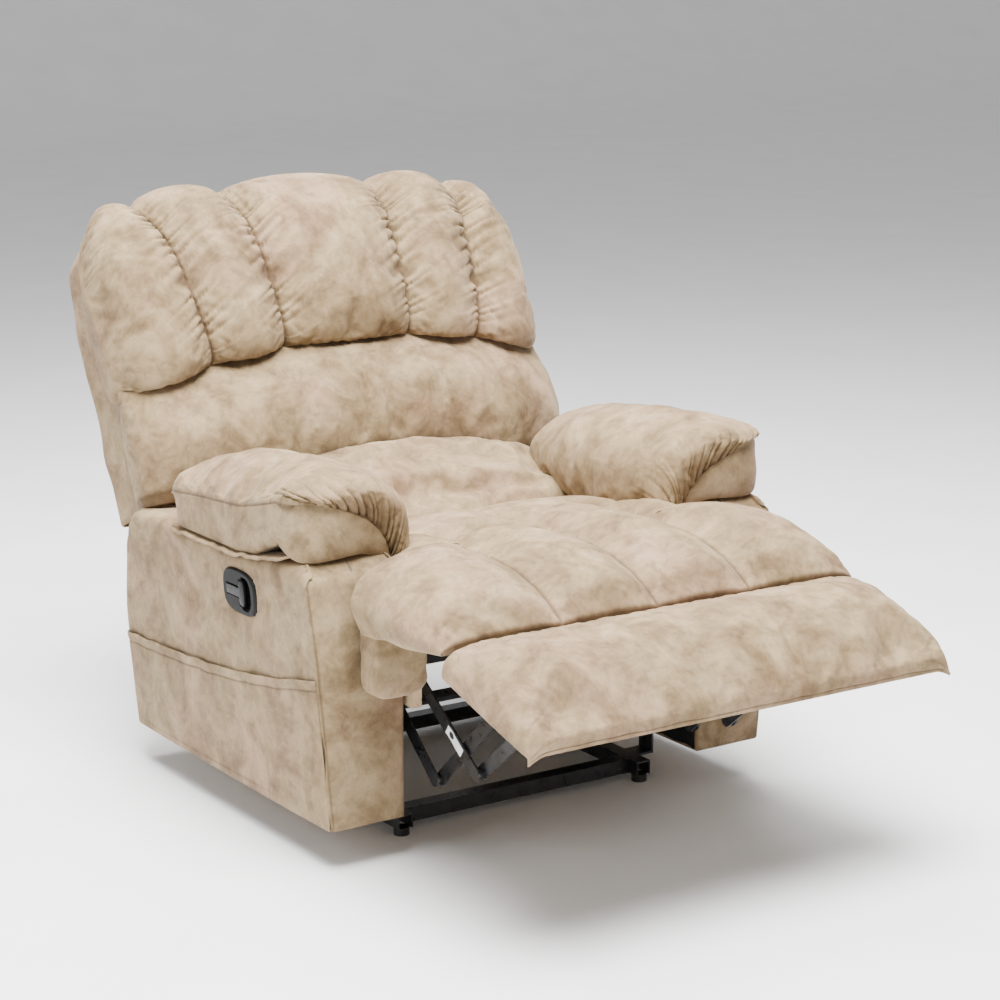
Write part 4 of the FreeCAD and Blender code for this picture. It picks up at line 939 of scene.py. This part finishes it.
def pillow(side, sign):
    """The armrest pillow: a domed top panel sewn to a boxing strip along the outer side and the front."""
    s = np.linspace(0, 1, 84)
    t = np.concatenate([np.linspace(0, 0.14, 20, endpoint=False), np.linspace(0.14, 0.72, 52, endpoint=False),
                        np.linspace(0.72, 1, 44)])
    ss, tt = np.meshgrid(s, t, indexing="ij")
    y_line = np.interp(tt, [0, 0.14, 0.72, 1], [0.222, 0.205, -0.142, -0.150])
    seam_z = np.interp(-y_line, [-0.236, -0.12, 0.021, 0.12, 0.15], [0.566, 0.577, 0.588, 0.612, 0.620])
    top_z = np.interp(-y_line, [-0.222, -0.12, 0.01, 0.07, 0.15], [0.615, 0.640, 0.652, 0.657, 0.656])
    base_z = np.interp(-y_line, [-0.236, 0.0, 0.06, 0.10, 0.15], [0.508, 0.508, 0.515, 0.534, 0.554])
    inner_z = np.interp(-y_line, [-0.236, 0.0, 0.15], [0.470, 0.462, 0.474])
    bulge = 0.252 + 0.016 * smooth(y_line, 0.05, 0.22) + 0.012 * smooth(-y_line, 0.05, 0.15)
    x = curve([0.488, 0.482, 0.448, 0.392, 0.330, 0.276, bulge, bulge + 0.006, 0.300], ss)
    z = curve([seam_z, seam_z + 0.026, top_z - 0.010, top_z, top_z - 0.010, top_z - 0.044, inner_z + 0.068, inner_z + 0.026,
               inner_z], ss)
    y = y_line.copy()
    # the front closes on a curve that falls from the outer corner to the inner tip
    edge_x = curve([0.476, 0.446, 0.402, 0.356, 0.322, 0.305, 0.300], ss)
    edge_y = curve([-0.188, -0.205, -0.213, -0.209, -0.203, -0.195, -0.184], ss)
    edge_z = curve([0.629, 0.623, 0.609, 0.588, 0.556, 0.524, 0.494], ss)
    q = np.clip((tt - 0.72) / 0.28, 0, 1) * np.pi / 2
    x = edge_x + (x - edge_x) * np.cos(q) ** 0.9
    z = edge_z + (z - edge_z) * np.cos(q) ** 0.9
    swell = 0.020 * np.sin(2 * q) * np.sin(np.pi * ss) ** 0.5
    y = np.where(q > 0, y + (edge_y - y) * np.sin(q) - swell, y)
    p = np.clip((0.14 - tt) / 0.14, 0, 1) * np.pi / 2
    rear_x, rear_z = 0.485 - 0.185 * ss, 0.560 - 0.05 * ss
    x = rear_x + (x - rear_x) * np.cos(p)
    z = rear_z + (z - rear_z) * np.cos(p)
    y = np.where(p > 0, y + (0.250 - y) * np.sin(p), y)
    top = np.stack([x, y, z], axis=-1)
    # boxing strip and underside, on the same border
    under_x = curve([0.488, 0.490, 0.486, 0.440, 0.370, 0.300], ss)
    under_z = curve([seam_z, 0.5 * (seam_z + base_z), base_z, base_z - 0.002, base_z - 0.006, inner_z], ss)
    low_z = np.interp(edge_x, [0.300, 0.325, 0.40, 0.488], [0.494, 0.512, 0.545, 0.575])
    ux = edge_x + (under_x - edge_x) * np.cos(q)
    uz = edge_z + (under_z - edge_z) * np.cos(q)
    uz = uz + (low_z - edge_z) * np.sin(q) * np.cos(q) * 1.2
    uy = np.where(q > 0, y_line + (edge_y - y_line) * np.sin(q) - 0.012 * np.sin(2 * q) * np.sin(np.pi * ss) ** 0.5, y_line)
    ux = rear_x + (ux - rear_x) * np.cos(p)
    uz = rear_z + (uz - rear_z) * np.cos(p)
    uy = np.where(p > 0, uy + (0.250 - uy) * np.sin(p), uy)
    under = np.stack([ux, uy, uz], axis=-1)
    for rim in ((0, slice(None)), (-1, slice(None)), (slice(None), 0), (slice(None), -1)):
        under[rim] = top[rim]
    top[..., 0] *= sign
    under[..., 0] *= sign
    loose = smooth(ss, 0, 0.06) * smooth(1 - ss, 0, 0.1) * smooth(tt, 0, 0.06) * smooth(1 - tt, 0, 0.06)
    path = np.linalg.norm(np.diff(top, axis=1), axis=-1)
    along = np.concatenate([np.zeros((len(s), 1)), np.cumsum(path, axis=1)], axis=1)
    path = np.linalg.norm(np.diff(top, axis=0), axis=-1)
    round_it = np.concatenate([np.zeros((1, len(t))), np.cumsum(path, axis=0)], axis=0)
    piece = bag("pillow_" + side, top, under, flip=sign < 0, loose=loose, side=round_it,
                ahead=along[:, -1:] - along, behind=along, inner=round_it[-1:] - round_it,
                length=np.broadcast_to(along[:1], along.shape), forward=tt)
    stuff(piece, pressure=3.0, grow=0.04, cap=0.020)
    subdivide(piece)
    seed = 100 if sign > 0 else 110

    def rule(at):
        ahead = smooth(at["forward"], 0.60, 0.72)
        wave = pleats(at["length"] + 0.15 * at["side"], 0.0195, seed)
        reach = np.exp(-at["side"] / 0.034) * smooth(at["side"], 0, 0.003) * ahead * smooth(at["ahead"], 0.02, 0.05)
        front = pleats(at["side"] + 0.10 * at["ahead"], 0.0190, seed + 1)
        front_reach = np.exp(-at["ahead"] / 0.042) * smooth(at["ahead"], 0, 0.003)
        high = 0.0105 * wave * reach + 0.0135 * front * front_reach
        # painted shade: the valleys of the gathers along the seams are darkened
        painted_valley_shade = smooth(-wave, 0.30, 0.68) * reach + smooth(-front, 0.30, 0.68) * front_reach
        high += 0.0034 * pleats(at["side"], 0.05, seed + 2) * np.exp(-at["behind"] / 0.03) * smooth(at["behind"], 0, 0.01)
        high += 0.0016 * ripple(at["length"] + 0.35 * at["side"], 0.14, seed + 3)
        high *= smooth(at["inner"], 0, 0.03)
        line = np.exp(-(at["side"] / 0.0045) ** 2) + np.exp(-(at["ahead"] / 0.0050) ** 2) * (at["inner"] > 0.008)
        return high, np.clip(0.9 * line + 0.65 * painted_valley_shade, 0, 0.95)

    detail(piece, rule)
    return upholster(piece, "base", ("armrest_pillow_" + side,))


def flange(side, sign):
    """The doubled edge of fabric that stands out under the rear of the pillow."""
    y = np.linspace(0.262, -0.185, 80)
    z = np.interp(-y, [-0.262, 0.0, 0.12, 0.19], [0.504, 0.507, 0.524, 0.542])
    w = np.linspace(0, 1, 9)
    yy, ww = np.meshgrid(y, w, indexing="ij")
    zz = z[:, None] - 0.006 * ww + 0.0016 * ripple(yy, 0.07, 120) * ww
    end = smooth(yy, -0.19, -0.15) * smooth(0.262 - yy, -0.001, 0.02)
    x = 0.458 + 0.038 * ww * (0.3 + 0.7 * end)
    points = np.stack([sign * x, yy, zz], axis=-1).reshape(-1, 3)
    seam_and_shade = 0.6 * np.exp(-((ww - 0.75) / 0.06) ** 2)
    piece = new_piece("flange_" + side, points, grid_faces(np.arange(yy.size).reshape(yy.shape), flip=sign < 0), seam_and_shade.ravel())
    modifier(piece, "SOLIDIFY", thickness=0.005, offset=0)
    settle(piece)
    subdivide(piece)
    return upholster(piece, "base")


def on_arm(across, up, out):
    """Points on the right arm's outer face about the latch: across to the rear, up, and outward."""
    across, up, out = np.broadcast_arrays(across, up, out)
    tilt = 0.0667
    x = LATCH[0] - up * tilt - out
    return np.stack([x, LATCH[1] + across, LATCH[2] + up - out * tilt], axis=-1)


def latch():
    """The release: a rounded plate with a finger dish at its front, and a T lever hinged at its rear."""
    a, b = np.meshgrid(np.linspace(-1, 1, 150), np.linspace(-1, 1, 104), indexing="ij")
    reach = np.maximum(np.abs(a), np.abs(b))
    length = np.maximum((np.abs(a) ** 3 + np.abs(b) ** 3) ** (1 / 3), 1e-6)
    across, up = 0.058 * a * reach / length, 0.040 * b * reach / length
    rim = (1 - reach) * 0.045
    height = 0.0045 * np.clip(1 - (1 - rim / 0.004) ** 2 * (rim < 0.004), 0, 1) - 0.0015 * (reach > 0.995)
    front = (across + 0.0275) / 0.0155
    dish = smooth(1.15 - np.abs(front + 0.35 * (up / 0.027) ** 2 * -1) ** 3 - np.abs(up / 0.029) ** 4, 0, 0.35)
    stem = np.maximum(np.abs(across - 0.010) - 0.032, np.abs(up) - 0.0098)
    head = np.maximum(np.abs(across + 0.0135) - 0.0105, np.abs(up) - 0.0235)
    gap = smooth(-np.minimum(stem, head), -0.0010, 0.0002)
    height = height - 0.011 * dish - 0.0025 * gap
    # painted shade: the finger dish and the gap round the lever are darkened through the per-point darkening value
    piece = new_piece("latch_plate", on_arm(across, up, height).reshape(-1, 3), grid_faces(np.arange(a.size).reshape(a.shape)),
                      np.maximum(dish, gap).ravel())
    upholster(piece, "base", ("latch_housing",), material="plastic")
    outline = [(0.0400, -0.0085), (0.0400, 0.0085), (-0.0040, 0.0085), (-0.0040, 0.0150), (-0.0065, 0.0205),
               (-0.0120, 0.0222), (-0.0195, 0.0222), (-0.0220, 0.0140), (-0.0228, 0.0), (-0.0220, -0.0140),
               (-0.0195, -0.0222), (-0.0120, -0.0222), (-0.0065, -0.0205), (-0.0040, -0.0150), (-0.0040, -0.0085)]
    corners = np.array(outline)
    count = len(corners)
    layers = [on_arm(corners[:, 0], corners[:, 1], out) for out in (0.0012, 0.0062)]
    ring = list(range(count))
    faces = [ring, [i + count for i in ring[::-1]]]
    faces += [[i, i + count, (i + 1) % count + count, (i + 1) % count] for i in ring]
    lever = new_piece("latch_pull", np.concatenate(layers), faces)
    modifier(lever, "BEVEL", width=0.0012, segments=3, limit_method="ANGLE")
    settle(lever)
    upholster(lever, "latch", ("latch_lever",), material="lever")


def back_flap():
    """Black cloth closing the back below its shell."""
    x, v = np.meshgrid(np.linspace(-0.246, 0.246, 90), np.linspace(-0.024, 0.222, 50), indexing="ij")
    u = 0.146 - 0.002 * ripple(x + 0.4 * v, 0.16, 140) * smooth(v, -0.024, 0.02)
    piece = new_piece("back_flap", back(x, u, v).reshape(-1, 3), grid_faces(np.arange(x.size).reshape(x.shape), flip=True))
    modifier(piece, "SOLIDIFY", thickness=0.002, offset=0)
    settle(piece)
    return upholster(piece, "backrest", material="lining")


def label():
    """A blank paper sticker on the right front swing link."""
    low, high = span("front_swing_link_right")
    x = low[0] + 0.0005
    root, tip = np.array([x, -0.400, 0.184]), np.array([x, -0.173, 0.341])
    way = (tip - root) / np.linalg.norm(tip - root)
    side = np.cross([1, 0, 0], way)
    s, t = np.meshgrid(np.linspace(-1, 1, 12), np.linspace(0.045, 0.100, 24), indexing="ij")
    curl = 0.0006 * (s ** 2) + 0.0004 * ripple(t, 0.05, 130)
    points = root + t[..., None] * way + 0.0085 * s[..., None] * side
    points[..., 0] = x - 0.0006 - curl
    piece = new_piece("blank_label", points.reshape(-1, 3), grid_faces(np.arange(s.size).reshape(s.shape)))
    modifier(piece, "SOLIDIFY", thickness=0.0003, offset=0)
    settle(piece)
    return upholster(piece, "front_swing_right", material="paper")


# ------------------------------------------------------------------ scene

def camera():
    lens = bpy.data.cameras.new("view")
    lens.lens = 93.6
    lens.sensor_width = 36.0
    eye = bpy.data.objects.new("view", lens)
    eye.location = (-2.474, -3.793, 1.579)
    eye.rotation_euler = (math.radians(90 - 13.0), 0, math.radians(-33.6))
    bpy.context.scene.collection.objects.link(eye)
    bpy.context.scene.camera = eye


def floor():
    """A pale floor that curves up far behind the chair."""
    t = np.linspace(0, 1, 60)
    y = np.where(t < 0.6, -12 + 24 * t / 0.6, 12 + 5 * np.sin((t - 0.6) / 0.4 * math.pi / 2))
    z = np.where(t < 0.6, 0, 7 * (1 - np.cos((t - 0.6) / 0.4 * math.pi / 2)))
    x = np.linspace(-24, 24, 3)
    sheet = np.zeros((3, 60, 3))
    sheet[..., 0], sheet[..., 1], sheet[..., 2] = x[:, None], y[None], z[None]
    piece = new_piece("floor", sheet.reshape(-1, 3), grid_faces(np.arange(180).reshape(3, 60)))
    m = Nodes("floor")
    tone = m.ramp(m.noise(3.0, detail=3.0), (0.3, (0.90, 0.90, 0.90)), (0.7, (0.94, 0.94, 0.94)))
    m.finish(tone, 0.55, Specular_IOR_Level=0.3)
    piece.data.materials.append(MATERIAL["floor"])


def lamp(name, place, aim, size, power, colour=(1, 1, 1)):
    light = bpy.data.lights.new(name, "AREA")
    light.shape = "RECTANGLE"
    light.size, light.size_y = size
    light.energy = power
    light.color = colour
    holder = bpy.data.objects.new(name, light)
    holder.location = place
    way = Vector(aim) - Vector(place)
    holder.rotation_euler = way.to_track_quat("-Z", "Y").to_euler()
    bpy.context.scene.collection.objects.link(holder)


def lights():
    world = bpy.data.worlds.new("studio")
    world.use_nodes = True
    world.node_tree.nodes["Background"].inputs["Color"].default_value = (1, 1, 1, 1)
    world.node_tree.nodes["Background"].inputs["Strength"].default_value = 0.50
    bpy.context.scene.world = world
    lamp("key", (-0.6, -1.0, 3.9), (0, 0, 0.4), (2.4, 2.4), 680)
    lamp("top", (0.4, 1.4, 3.4), (0, 0, 0.4), (3, 2), 210)
    lamp("left", (-3.6, -0.2, 1.8), (0, 0, 0.4), (2, 2), 50)


make_materials()
dress_frame()
camera()
floor()
lights()
headrest()
shoulder()
lumbar()
back_shell()
chaise()
roll()
label()
latch()
back_flap()
for side, sign in SIDES:
    ear(side, sign)
    arm(side, sign)
    pocket(side, sign)
    lining(side, sign)
    pillow(side, sign)
    flange(side, sign)
